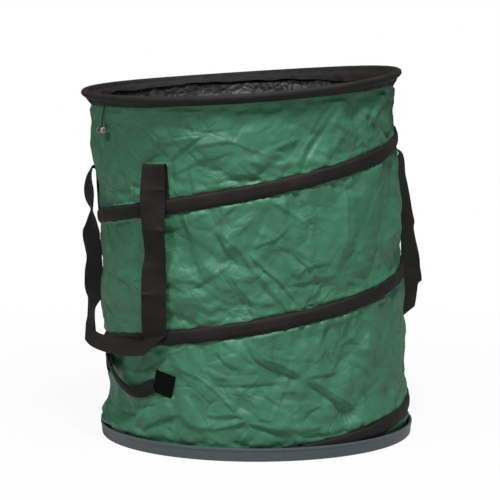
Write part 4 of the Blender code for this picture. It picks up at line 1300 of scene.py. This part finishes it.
def build_hem():
    turns = np.linspace(0.0, 360.0, 288 + 1)
    around = np.radians(np.linspace(ROLL_START, ROLL_END, 15))
    roll = zip(RIM_HOOP_RADIUS + HEM_ROLL * np.cos(around), HEM_ROLL * np.sin(around))
    profile = np.array([*HEM_SKIRT, *roll, *HEM_FACING])
    angle = np.radians(turns)[None]
    radius = np.repeat(profile[:, 0][:, None], len(turns), axis=1)
    height = np.repeat(profile[:, 1][:, None], len(turns), axis=1)
    plain = round_place(angle, radius, height)
    rows = np.arange(len(profile))
    part = np.linspace(0.0, 1.0, len(profile))[:, None]
    on_skirt = falling(part, SKIRT_SHARE, SKIRT_SHARE)
    on_facing = rising(part, FACING_FROM, FACING_REACH)
    roll_end = len(profile) - len(HEM_FACING)
    facing_top = HEM_FACING[0][1]
    shortened = facing_top + (height - facing_top) * facing_share(turns)[None]
    height = np.where(rows[:, None] >= roll_end, shortened, height)
    height = height + on_skirt * 0.0008 * ripple(plain, 0.10, 31)
    height = height + on_facing * 0.0015 * ripple(plain, 0.06, 32)
    follows = np.interp(rows, (0, len(HEM_SKIRT) - 1, roll_end - 1, len(profile) - 1), (0.0, 1.0, 1.0, 0.0))
    height = height + follows[:, None] * rim_bend(turns)[None]
    radius = radius + on_skirt * 0.0011 * ripple(plain, 0.024, 33)
    radius = radius - on_facing * 0.0011 * (1 + ripple(plain, 0.025, 34)) + 0.0005 * ripple(plain, 0.018, 35)
    points = on_rim(round_place(angle, radius, height))
    width = path_length(profile)
    hem = cloth("rim_hem_binding", points, (2 * math.pi * HEM_RADIUS, width), HEM, seam=True,
                thickness=0.0010, degrees=50.0)
    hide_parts("rim_hem")
    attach(hem, "rim")


def bent_hoop(angles):
    return on_rim(round_place(np.radians(angles), RIM_HOOP_RADIUS, rim_bend(angles)))


def build_hoop():
    """The bent spring hoop and the sleeve that joins its ends, inside the rolled hem."""
    onward = np.linspace(FERRULE_ANGLE + HOOP_END_GAP, FERRULE_ANGLE + 360.0 - HOOP_END_GAP, 240)
    wire = tube("rim_hoop_wire", bent_hoop(onward), RIM_WIRE, SPRING_STEEL, sides=12)
    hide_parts("rim_hoop")
    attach(wire, "rim")
    beside = FERRULE_ANGLE + np.linspace(-FERRULE_SPREAD, FERRULE_SPREAD, 9)
    sleeve = tube("rim_ferrule_sleeve", bent_hoop(beside), FERRULE_RADIUS, STEEL, sides=24, shell=0.0008)
    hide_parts("rim_ferrule")
    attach(sleeve, "rim")


# Handles: each station of a leg is its angle, height, lift off the wall and turn about its own length,
# and each station of a bottom run is its angle, then the height and lift of its upper and its lower edge
HANDLE_TURNS = 720.0
ANCHOR_OVERLAP = 0.004
FOLD_STEPS = 9
LEFT_FRONT_FOLD = (209.0, 0.481)
LEFT_REAR_FOLD = (153.0, 0.461)
LEFT_FRONT_LEG = (
    (209.0, 0.481, 0.0099, 8.0),
    (208.7, 0.455, 0.0125, 18.0),
    (208.4, 0.428, 0.0145, 26.0),
    (208.3, 0.412, 0.0150, 20.0),
    (208.3, 0.392, 0.0150, 3.0),
    (208.3, 0.372, 0.0145, -2.0),
    (208.1, 0.350, 0.0140, 0.0),
    (207.8, 0.330, 0.0145, 8.0),
    (207.2, 0.305, 0.0160, 22.0),
    (206.8, 0.278, 0.0160, 28.0),
    (206.4, 0.244, 0.0160, 27.0),
    (206.1, 0.214, 0.0155, 26.0),
)
LEFT_REAR_LEG = (
    (153.0, 0.461, 0.0099, 4.0),
    (153.0, 0.448, 0.0150, 15.0),
    (153.0, 0.430, 0.0172, 24.0),
    (153.0, 0.412, 0.0174, 23.0),
    (153.0, 0.400, 0.0160, 15.0),
    (153.0, 0.391, 0.0145, 9.0),
    (153.0, 0.379, 0.0150, 22.0),
    (152.8, 0.365, 0.0165, 35.0),
    (152.5, 0.354, 0.0182, 48.0),
    (152.5, 0.340, 0.0184, 50.0),
    (152.5, 0.323, 0.0168, 47.0),
    (152.5, 0.306, 0.0162, 44.0),
    (152.5, 0.283, 0.0178, 53.0),
    (152.5, 0.261, 0.0185, 56.0),
    (152.6, 0.247, 0.0186, 48.0),
    (152.8, 0.237, 0.0195, 35.0),
    (153.0, 0.222, 0.0245, 21.0),
    (153.5, 0.203, 0.0262, 22.0),
)
LEFT_BOTTOM_RUN = (
    (202.1, 0.197, 0.0185, 0.171, 0.0250),
    (196.0, 0.193, 0.0150, 0.168, 0.0300),
    (187.0, 0.190, 0.0100, 0.166, 0.0300),
    (177.0, 0.187, 0.0095, 0.166, 0.0310),
    (168.0, 0.184, 0.0120, 0.166, 0.0330),
    (158.0, 0.183, 0.0190, 0.168, 0.0370),
)
LEFT_FRONT_CORNER = (206.0, 0.205, 0.0150, 26.0)
LEFT_REAR_CORNER = (153.5, 0.190, 0.0280, 26.0)
LEFT_HANDLE_DENTS = (
    (0.049, 0.013, "right", -0.0016),
    (0.113, 0.036, "right", -0.0046),
    (0.174, 0.010, "both", -0.0015),
    (0.217, 0.022, "left", -0.0032),
    (0.252, 0.016, "right", -0.0014),
)

# The right handle's legs hang from below the tape, alike but turned the other way; the stations count
# their angle and height from the leg's top
RIGHT_ANGLES = {"front": 338.0, "rear": 392.0}
RIGHT_TAB = 0.010
BEND_GAP = 0.0014
TAPE_CLEARANCE = TAPE_HALF_WIDTH + BAND_PITCH * WEBBING_SPREAD / 360.0 + 0.001
RIGHT_LEG = (
    (0.0, 0.0000, 0.0019, 0.0),
    (0.0, 0.0060, 0.0085, 9.0),
    (0.0, 0.0150, 0.0108, 21.0),
    (0.0, 0.0360, 0.0118, 27.0),
    (0.0, 0.0690, 0.0135, 31.0),
    (0.0, 0.1030, 0.0155, 39.0),
    (0.0, 0.1250, 0.0172, 46.0),
    (0.0, 0.1400, 0.0166, 42.0),
    (0.0, 0.1870, 0.0202, 57.0),
    (0.0, 0.2080, 0.0214, 62.0),
    (0.0, 0.2230, 0.0216, 62.0),
)
RIGHT_LEG_SHARE = 0.97
RIGHT_CORNER_DROP = 0.054
RIGHT_BOTTOM_RUN = (
    (343.0, 0.233, 0.0370, 0.195, 0.0300),
    (354.0, 0.231, 0.0350, 0.194, 0.0310),
    (365.0, 0.230, 0.0320, 0.193, 0.0300),
    (376.0, 0.231, 0.0350, 0.194, 0.0310),
    (387.0, 0.233, 0.0370, 0.195, 0.0300),
)
RIGHT_HANDLE_DENTS = (
    (0.050, 0.018, "both", -0.0016),
    (0.210, 0.016, "right", -0.0018),
)


def cross_edges(angle, height, lift, yaw):
    """The two edges of upright webbing: low-angle edge first, turned by yaw about its own length."""
    outward = outward_at(angle)
    onward = np.array([-outward[1], outward[0], 0.0])
    yaw = math.radians(yaw)
    across = (onward * math.cos(yaw) - outward * math.sin(yaw)) * WEBBING_HALF_WIDTH
    middle = upright(angle, height, lift)
    return leaned(middle - across), leaned(middle + across)


def flipped(edges):
    return [(second, first) for first, second in edges]


def build_anchor(name, node, angle, low, high):
    """A sewn end of webbing that lies flat on the wall."""
    heights = np.linspace(low, high, 15)
    left = on_wall(angle - WEBBING_SPREAD, heights, WEBBING_LIFT)
    right = on_wall(angle + WEBBING_SPREAD, heights, WEBBING_LIFT)
    middle = on_wall(angle, heights, WEBBING_LIFT)
    bulge = float(np.linalg.norm(middle[0] - (left[0] + right[0]) / 2))
    anchor = ribbon(name, left, right, WEBBING, cup=-bulge, soft=0.0002)
    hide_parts(node)
    shortens(anchor, "handle_band")


def build_handle(side, front, front_corner, bottom_run, steps, rear_corner, rear, seed, dents):
    """The loop of a handle from pairs of edges: one leg down, the bottom run, and the other leg up."""
    bottom = [
        (on_wall(angle, low, low_lift), on_wall(angle, high, high_lift))
        for angle, high, high_lift, low, low_lift in smooth_run(bottom_run, steps)
    ]
    corners = [(front_corner, bottom[0][1])], [(rear_corner, bottom[-1][1])]
    left, right = zip(*front, *corners[0], *bottom, *corners[1], *rear)
    handle = ribbon(f"{side}_handle_webbing", left, right, WEBBING, cup=0.0006, soft=0.0006, seed=seed,
                    dents=dents)
    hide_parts(f"{side}_handle")
    shortens(handle, f"{side}_handle")


def hung_leg(fold, stations, steps):
    """A leg that starts with a fold over its sewn end and goes down through its stations."""
    angle, height = fold
    yaw = stations[0][3]
    edges = []
    for step in range(FOLD_STEPS):
        around = math.radians(180.0 - 180.0 * step / FOLD_STEPS)
        up = height + FOLD_RADIUS * math.sin(around)
        lift = WEBBING_LIFT + FOLD_RADIUS + FOLD_RADIUS * math.cos(around)
        edges.append(cross_edges(angle, up, lift, yaw * step / FOLD_STEPS))
    return edges + [cross_edges(*station) for station in smooth_run(stations, steps)]


def build_left_handle():
    for name, (angle, height) in (("front", LEFT_FRONT_FOLD), ("rear", LEFT_REAR_FOLD)):
        low = band_height(angle + HANDLE_TURNS) + ANCHOR_OVERLAP
        build_anchor(f"left_strap_end_{name}", f"left_anchor_{name}", angle, low, height - 0.0004)
    front = hung_leg(LEFT_FRONT_FOLD, LEFT_FRONT_LEG, 8)
    rear = hung_leg(LEFT_REAR_FOLD, LEFT_REAR_LEG, 6)
    build_handle("left", flipped(front), cross_edges(*LEFT_FRONT_CORNER)[1], LEFT_BOTTOM_RUN, 4,
                 cross_edges(*LEFT_REAR_CORNER)[0], rear[::-1], 41, LEFT_HANDLE_DENTS)


def build_right_handle():
    legs = {}
    corners = {}
    for name, sign in (("front", 1.0), ("rear", -1.0)):
        angle = RIGHT_ANGLES[name]
        middle = band_height(angle + HANDLE_TURNS)
        low = middle - TAPE_CLEARANCE - RIGHT_TAB
        build_anchor(f"right_strap_end_{name}", f"right_anchor_{name}", angle, low, middle - ANCHOR_OVERLAP)
        top = low - BEND_GAP
        stretch = (top - RIGHT_BOTTOM_RUN[0][1]) / RIGHT_LEG[-1][1]
        stations = [
            (angle + sign * turn, top - drop * stretch * RIGHT_LEG_SHARE, lift, -sign * yaw)
            for turn, drop, lift, yaw in RIGHT_LEG
        ]
        legs[name] = [cross_edges(*station) for station in smooth_run(stations, 5)]
        foot_angle, foot_height, lift, yaw = stations[-1]
        corners[name] = cross_edges(foot_angle, foot_height - RIGHT_CORNER_DROP, lift, yaw)
    build_handle("right", legs["front"], corners["front"][0], RIGHT_BOTTOM_RUN, 5,
                 corners["rear"][1], flipped(legs["rear"][::-1]), 43, RIGHT_HANDLE_DENTS)


# Grab handle: angle, height and lift of the strap's middle between its two patches
GRAB_HALF_WIDTH = 0.0125
PATCH_HALF = 0.0193
PATCH_PLACES = (("rear", 162.0, 0.1345, 0.0), ("front", 207.2, 0.121, 14.0))
PATCH_LIFT = 0.0024
GRAB_TWIST = 18.0
GRAB_CURL = 0.26
GRAB_RUN = (
    (166.8, 0.1390, 0.0024),
    (171.0, 0.1395, 0.0068),
    (177.0, 0.1320, 0.0098),
    (183.0, 0.1180, 0.0125),
    (189.0, 0.1060, 0.0140),
    (194.0, 0.1020, 0.0130),
    (198.5, 0.1075, 0.0085),
    (202.3, 0.1160, 0.0024),
)


def build_grab_handle():
    spread = math.degrees(PATCH_HALF / WALL_RADIUS)
    side = np.linspace(-1.0, 1.0, 13)[:, None]
    rise = np.linspace(-1.0, 1.0, 13)[None]
    for name, angle, height, slant in PATCH_PLACES:
        slant = math.radians(slant)
        across = angle + spread * (side * math.cos(slant) + rise * math.sin(slant))
        up = height + PATCH_HALF * (rise * math.cos(slant) - side * math.sin(slant))
        patch = cloth(f"grab_patch_{name}_webbing", on_wall(across, up, PATCH_LIFT)[::-1],
                      (2 * PATCH_HALF, 2 * PATCH_HALF), PATCH, thickness=0.0018, degrees=50.0)
        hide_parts(f"grab_patch_{name}")
        shortens(patch, "grab_band")
    run = smooth_run(GRAB_RUN, 6)
    middle = upright(run[:, 0], run[:, 1], run[:, 2])
    along = np.gradient(middle, axis=0)
    turn = np.radians(run[:, 0])
    outward = round_place(turn, 1.0, 0.0)
    for i in (0, -1):
        along[i] = (-math.sin(turn[i]), math.cos(turn[i]), 0.0)
    across = np.cross(outward, along)
    across = across / np.linalg.norm(across, axis=1, keepdims=True)
    away_from_ends = np.sin(np.pi * np.linspace(0.0, 1.0, len(run)))[:, None]
    twist = np.radians(GRAB_TWIST) * away_from_ends
    half = GRAB_HALF_WIDTH * (1.0 - GRAB_CURL * away_from_ends)
    across = (across * np.cos(twist) + outward * np.sin(twist)) * half
    strap = ribbon("grab_handle_webbing", leaned(middle - across), leaned(middle + across), WEBBING,
                   cup=0.0018, soft=0.0004, seed=47)
    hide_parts("grab_handle")
    shortens(strap, "grab_handle")


# Toggles and base loops: the elastic's route is how far out and how far down it is from the hem's edge
TOGGLE_ANGLES = {"left": 182.0, "right": 2.0}
TOGGLE_TOP = 0.5698
TOGGLE_LIFT = 0.0014
TOGGLE_ROUTE = (
    (0.0006, -0.0050),
    (0.0014, 0.0),
    (0.0036, 0.0100),
    (0.0052, 0.0215),
    (0.0056, 0.0270),
    (0.0056, 0.0335),
)
TOGGLE_HALF_LENGTH = 0.0088
TOGGLE_RADIUS = 0.0057
TOGGLE_SINK = 0.0005
ELASTIC_RADIUS = 0.0011
LOOP_CENTRES = {"left": 177.5, "right": 357.5}
LOOP_SPREAD = 8.5
LOOP_HEIGHT = 0.0300
LOOP_SLANT = 0.00325
LOOP_HALF_WIDTH = 0.005


def build_toggle(side, angle):
    top = on_wall(angle, TOGGLE_TOP, TOGGLE_LIFT)
    outward = outward_at(angle)
    path = smooth_run([top + outward * out - np.array([0.0, 0.0, down]) for out, down in TOGGLE_ROUTE], 6)
    cord = tube(f"toggle_elastic_{side}", path, ELASTIC_RADIUS, ELASTIC, sides=12)
    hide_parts(f"toggle_cord_{side}")
    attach(cord, f"{side}_toggle")

    half = TOGGLE_HALF_LENGTH
    radius = TOGGLE_RADIUS
    body = [(0.0, half - 0.0024), (radius * 0.90, half - 0.0024), (radius, half - 0.0034),
            (radius * 0.92, 0.0030), (radius * 0.86, 0.0)]
    body += [(r, -z) for r, z in reversed(body[:-1])]
    cap = [(0.0, half - 0.0020), (radius * 0.98, half - 0.0020), (radius * 0.98, half - 0.0012),
           (radius * 0.80, half - 0.0003), (radius * 0.55, half), (radius * 0.50, half - 0.0006),
           (0.0, half - 0.0007)]
    barrel = spun(f"toggle_barrel_{side}", body, TOGGLE, steps=40)
    ends = [spun(f"toggle_end_{side}_a", cap, TOGGLE_END, steps=32),
            spun(f"toggle_end_{side}_b", [(r, -z) for r, z in cap], TOGGLE_END, steps=32)]
    seat = Vector(path[-1]) - Vector((0.0, 0.0, TOGGLE_SINK))
    turned = Matrix.Rotation(math.radians(angle), 4, "Z") @ Matrix.Rotation(math.pi / 2, 4, "X")
    for piece in [barrel] + ends:
        piece.data.transform(Matrix.Translation(seat) @ turned)
        piece.data.update()
        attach(piece, f"{side}_toggle")
    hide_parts(f"toggle_{side}")


def build_loop(side, centre):
    """A folded loop of green tape, sewn down at both ends just above the tray."""
    share = np.linspace(-1.0, 1.0, 31)
    lift = 0.0015 + 0.0022 * (1.0 - share * share)
    height = LOOP_HEIGHT - LOOP_SLANT * share
    angle = centre + share * LOOP_SPREAD
    left = on_wall(angle, height - LOOP_HALF_WIDTH, lift)
    right = on_wall(angle, height + LOOP_HALF_WIDTH, lift)
    loop = ribbon(f"base_loop_tape_{side}", left, right, LOOP_GREEN, thickness=0.0010, cup=0.0004,
                  soft=0.0003)
    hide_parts(f"base_loop_{side}")
    shortens(loop, "base")


# Tray, with its raised ring for the rivets and two low ribs, and the piping that stands in it
TRAY_SHARPNESS = 32.0
TRAY_TOP_SIDE = (
    (0.0, 0.0030), (0.060, 0.0030), (0.062, 0.0036), (0.068, 0.0036), (0.070, 0.0030),
    (0.168, 0.0030), (0.172, 0.0060), (0.188, 0.0060), (0.192, 0.0030),
    (0.222, 0.0030), (0.224, 0.0036), (0.230, 0.0036), (0.232, 0.0030),
)
TRAY_UNDERSIDE = (
    (0.238, 0.0), (0.236, 0.0006), (0.216, 0.0006), (0.214, 0.0),
    (0.192, 0.0), (0.188, 0.0030), (0.172, 0.0030), (0.168, 0.0),
    (0.070, 0.0), (0.068, 0.0006), (0.012, 0.0006), (0.0, 0.0006),
)
TRAY_EDGE = 0.0033
DRAIN_RADIUS = 0.004
RIVET_HOLE = 0.0024
PIPING_CIRCLE = 0.243
PIPING_HEIGHT = 0.0125
PIPING_RADIUS = 0.0037
# Its cloth's length round the bag and its width round the hoop
PIPING_SIZE = (1.527, 0.023)


def tray_profile():
    """The tray's section: its floor, up the inside of its edge, over the rolled lip, and underneath."""
    inner = TRAY_RADIUS - TRAY_EDGE
    inside = [
        (inner - 0.0052, 0.0030), (inner - 0.0026, 0.0036), (inner - 0.0012, 0.0056),
        (inner, TRAY_HEIGHT - 0.0008), (inner + 0.0005, TRAY_HEIGHT - 0.0001), (inner + 0.0012, TRAY_HEIGHT),
    ]
    outside = [
        (TRAY_RADIUS - 0.0008, TRAY_HEIGHT), (TRAY_RADIUS - 0.0002, TRAY_HEIGHT - 0.0003),
        (TRAY_RADIUS, TRAY_HEIGHT - 0.0010), (TRAY_RADIUS, TRAY_HEIGHT - 0.0036),
        (TRAY_RADIUS - 0.0003, TRAY_HEIGHT - 0.0042), (TRAY_RADIUS - 0.0009, TRAY_HEIGHT - 0.0046),
        (TRAY_RADIUS - 0.0022, 0.0034), (TRAY_RADIUS - 0.0026, 0.0016), (TRAY_RADIUS - 0.0038, 0.0004),
        (TRAY_RADIUS - 0.0056, 0.0),
    ]
    return [*TRAY_TOP_SIDE, *inside, *outside, *TRAY_UNDERSIDE]


def build_tray():
    tray = spun("tray_moulding", tray_profile(), PLASTIC, steps=180, degrees=TRAY_SHARPNESS)
    cutters = []
    for circle, turns, radius in ((DRAIN_CIRCLE, DRAIN_TURNS, DRAIN_RADIUS),
                                  (RIVET_CIRCLE, RIVET_TURNS, RIVET_HOLE)):
        for degrees in turns:
            place = outward_at(degrees) * circle + np.array([0.0, 0.0, 0.003])
            deselect()
            bpy.ops.mesh.primitive_cylinder_add(vertices=24, radius=radius, depth=0.03, location=place)
            cutters.append(bpy.context.active_object)
    deselect()
    for cutter in cutters:
        cutter.select_set(True)
    bpy.context.view_layer.objects.active = cutters[0]
    bpy.ops.object.join()
    cutter = bpy.context.active_object
    taking = tray.modifiers.new("Holes", "BOOLEAN")
    taking.operation = "DIFFERENCE"
    taking.solver = "EXACT"
    taking.object = cutter
    apply_modifiers(tray)
    bpy.data.objects.remove(cutter)
    round_off(tray, TRAY_SHARPNESS)
    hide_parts("base_tray")
    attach(tray, "base")


def build_base_piping():
    """The bottom hoop's cloth sleeve, inside the bag."""
    turns = np.linspace(0.0, 2 * np.pi, 240 + 1)[None]
    around = np.linspace(0.0, 2 * np.pi, 16 + 1)[:, None]
    plain = round_place(turns, PIPING_CIRCLE, PIPING_HEIGHT)
    thick = PIPING_RADIUS + 0.0002 * ripple(plain + 0.001 * around[..., None], 0.02, 51)
    radius = PIPING_CIRCLE + thick * np.cos(around)
    points = round_place(turns, radius, PIPING_HEIGHT + thick * np.sin(around))
    points[-1] = points[0]
    piping = cloth("base_hoop_piping", points, PIPING_SIZE, HEM, seam=True, degrees=60.0)
    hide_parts("base_hoop_sleeve")
    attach(piping, "base")


def dress_nodes():
    """The solids that stay as they are: the rivets and the base hoop."""
    finishes = {f"rivet_{number}": STEEL for number in range(1, 5)}
    finishes["base_hoop"] = SPRING_STEEL
    for name, finish in finishes.items():
        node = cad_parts[name]
        if not node.material_slots:
            node.data.materials.append(finish)
        for slot in node.material_slots:
            slot.material = finish


# Camera, light and floor: each lamp's place across the view, along it and up, its size and its power
LAMPS = {
    "left_lamp": ((-2.3, -1.9, 3.0), 0.34, 56.0),
    "front_lamp": ((0.20, -1.6, 3.2), 0.75, 146.0),
    "right_lamp": ((2.6, -1.6, 1.9), 0.80, 10.0),
    "top_lamp": ((0.2, 0.6, 3.2), 1.2, 15.0),
}
LIT_MIDDLE = Vector((0.0, 0.0, 0.30))
AMBIENT = 0.07
FLOOR_SIZE = 2000.0
FLOOR_GREY = (0.55, 0.55, 0.55)
FADE_FROM = 0.45
FADE_TO = 1.60
FADE_START = 0.93


def build_camera():
    data = bpy.data.cameras.new("camera")
    data.sensor_width = SENSOR
    data.lens = SENSOR * FOCAL_PIXELS / PICTURE_PIXELS
    data.clip_start = 0.1
    data.clip_end = 2000.0
    camera = bpy.data.objects.new("camera", data)
    bpy.context.scene.collection.objects.link(camera)
    camera.location = facing_camera(CAMERA_SIDE, CAMERA_BACK, CAMERA_HEIGHT)
    camera.rotation_euler = (math.pi / 2 - CAMERA_PITCH, 0.0, VIEW_TURN)
    bpy.context.scene.camera = camera


def build_light():
    for name, (place, size, power) in LAMPS.items():
        data = bpy.data.lights.new(name, "AREA")
        data.shape = "DISK"
        data.size = size
        data.energy = power
        lamp = bpy.data.objects.new(name, data)
        bpy.context.scene.collection.objects.link(lamp)
        lamp.location = facing_camera(*place)
        lamp.rotation_euler = (LIT_MIDDLE - facing_camera(*place)).to_track_quat("-Z", "Y").to_euler()
    world = bpy.data.worlds.new("studio")
    bpy.context.scene.world = world
    world.use_nodes = True
    world.node_tree.nodes.clear()
    sky = Tree(world.node_tree)
    seen = sky.add("LightPath").outputs["Is Camera Ray"]
    strength = sky.plus(sky.times(seen, 1.0 - AMBIENT), AMBIENT)
    glow = sky.add("Background", {"Color": WHITE, "Strength": strength})
    sky.add("OutputWorld", {"Surface": glow.outputs[0]})


def build_ground():
    """A plain pale floor that takes the bag's shadow and fades to white away from it."""
    deselect()
    bpy.ops.mesh.primitive_plane_add(size=FLOOR_SIZE, location=(0.0, 0.0, 0.0))
    floor = bpy.context.active_object
    floor.name = "studio_floor"
    material = bpy.data.materials.new("studio_floor")
    material.use_nodes = True
    material.node_tree.nodes.clear()
    shade = Tree(material.node_tree)
    away = shade.add("VectorMath", {0: shade.add("TexCoord").outputs["Object"]}, operation="LENGTH")
    fade = shade.add("MapRange", {"Value": away.outputs["Value"], "From Min": FADE_FROM, "From Max": FADE_TO,
                                  "To Min": FADE_START, "To Max": 1.0}).outputs["Result"]
    seen = shade.add("LightPath").outputs["Is Camera Ray"]
    matt = shade.add("BsdfDiffuse", {"Color": FLOOR_GREY}).outputs[0]
    glow = shade.add("Emission", {"Strength": 1.0}).outputs[0]
    mix = shade.add("MixShader", {0: shade.times(seen, fade), 1: matt, 2: glow})
    shade.add("OutputMaterial", {"Surface": mix.outputs[0]})
    floor.data.materials.append(material)


def main():
    build_camera()
    for side, angle in TOGGLE_ANGLES.items():
        build_toggle(side, angle)
        build_loop(side, LOOP_CENTRES[side])
    build_wall()
    build_lining()
    build_floor()
    build_band()
    build_hem()
    build_hoop()
    build_left_handle()
    build_right_handle()
    build_grab_handle()
    build_tray()
    build_base_piping()
    dress_nodes()
    build_light()
    build_ground()
    bpy.context.scene.view_settings.view_transform = "Standard"


main()
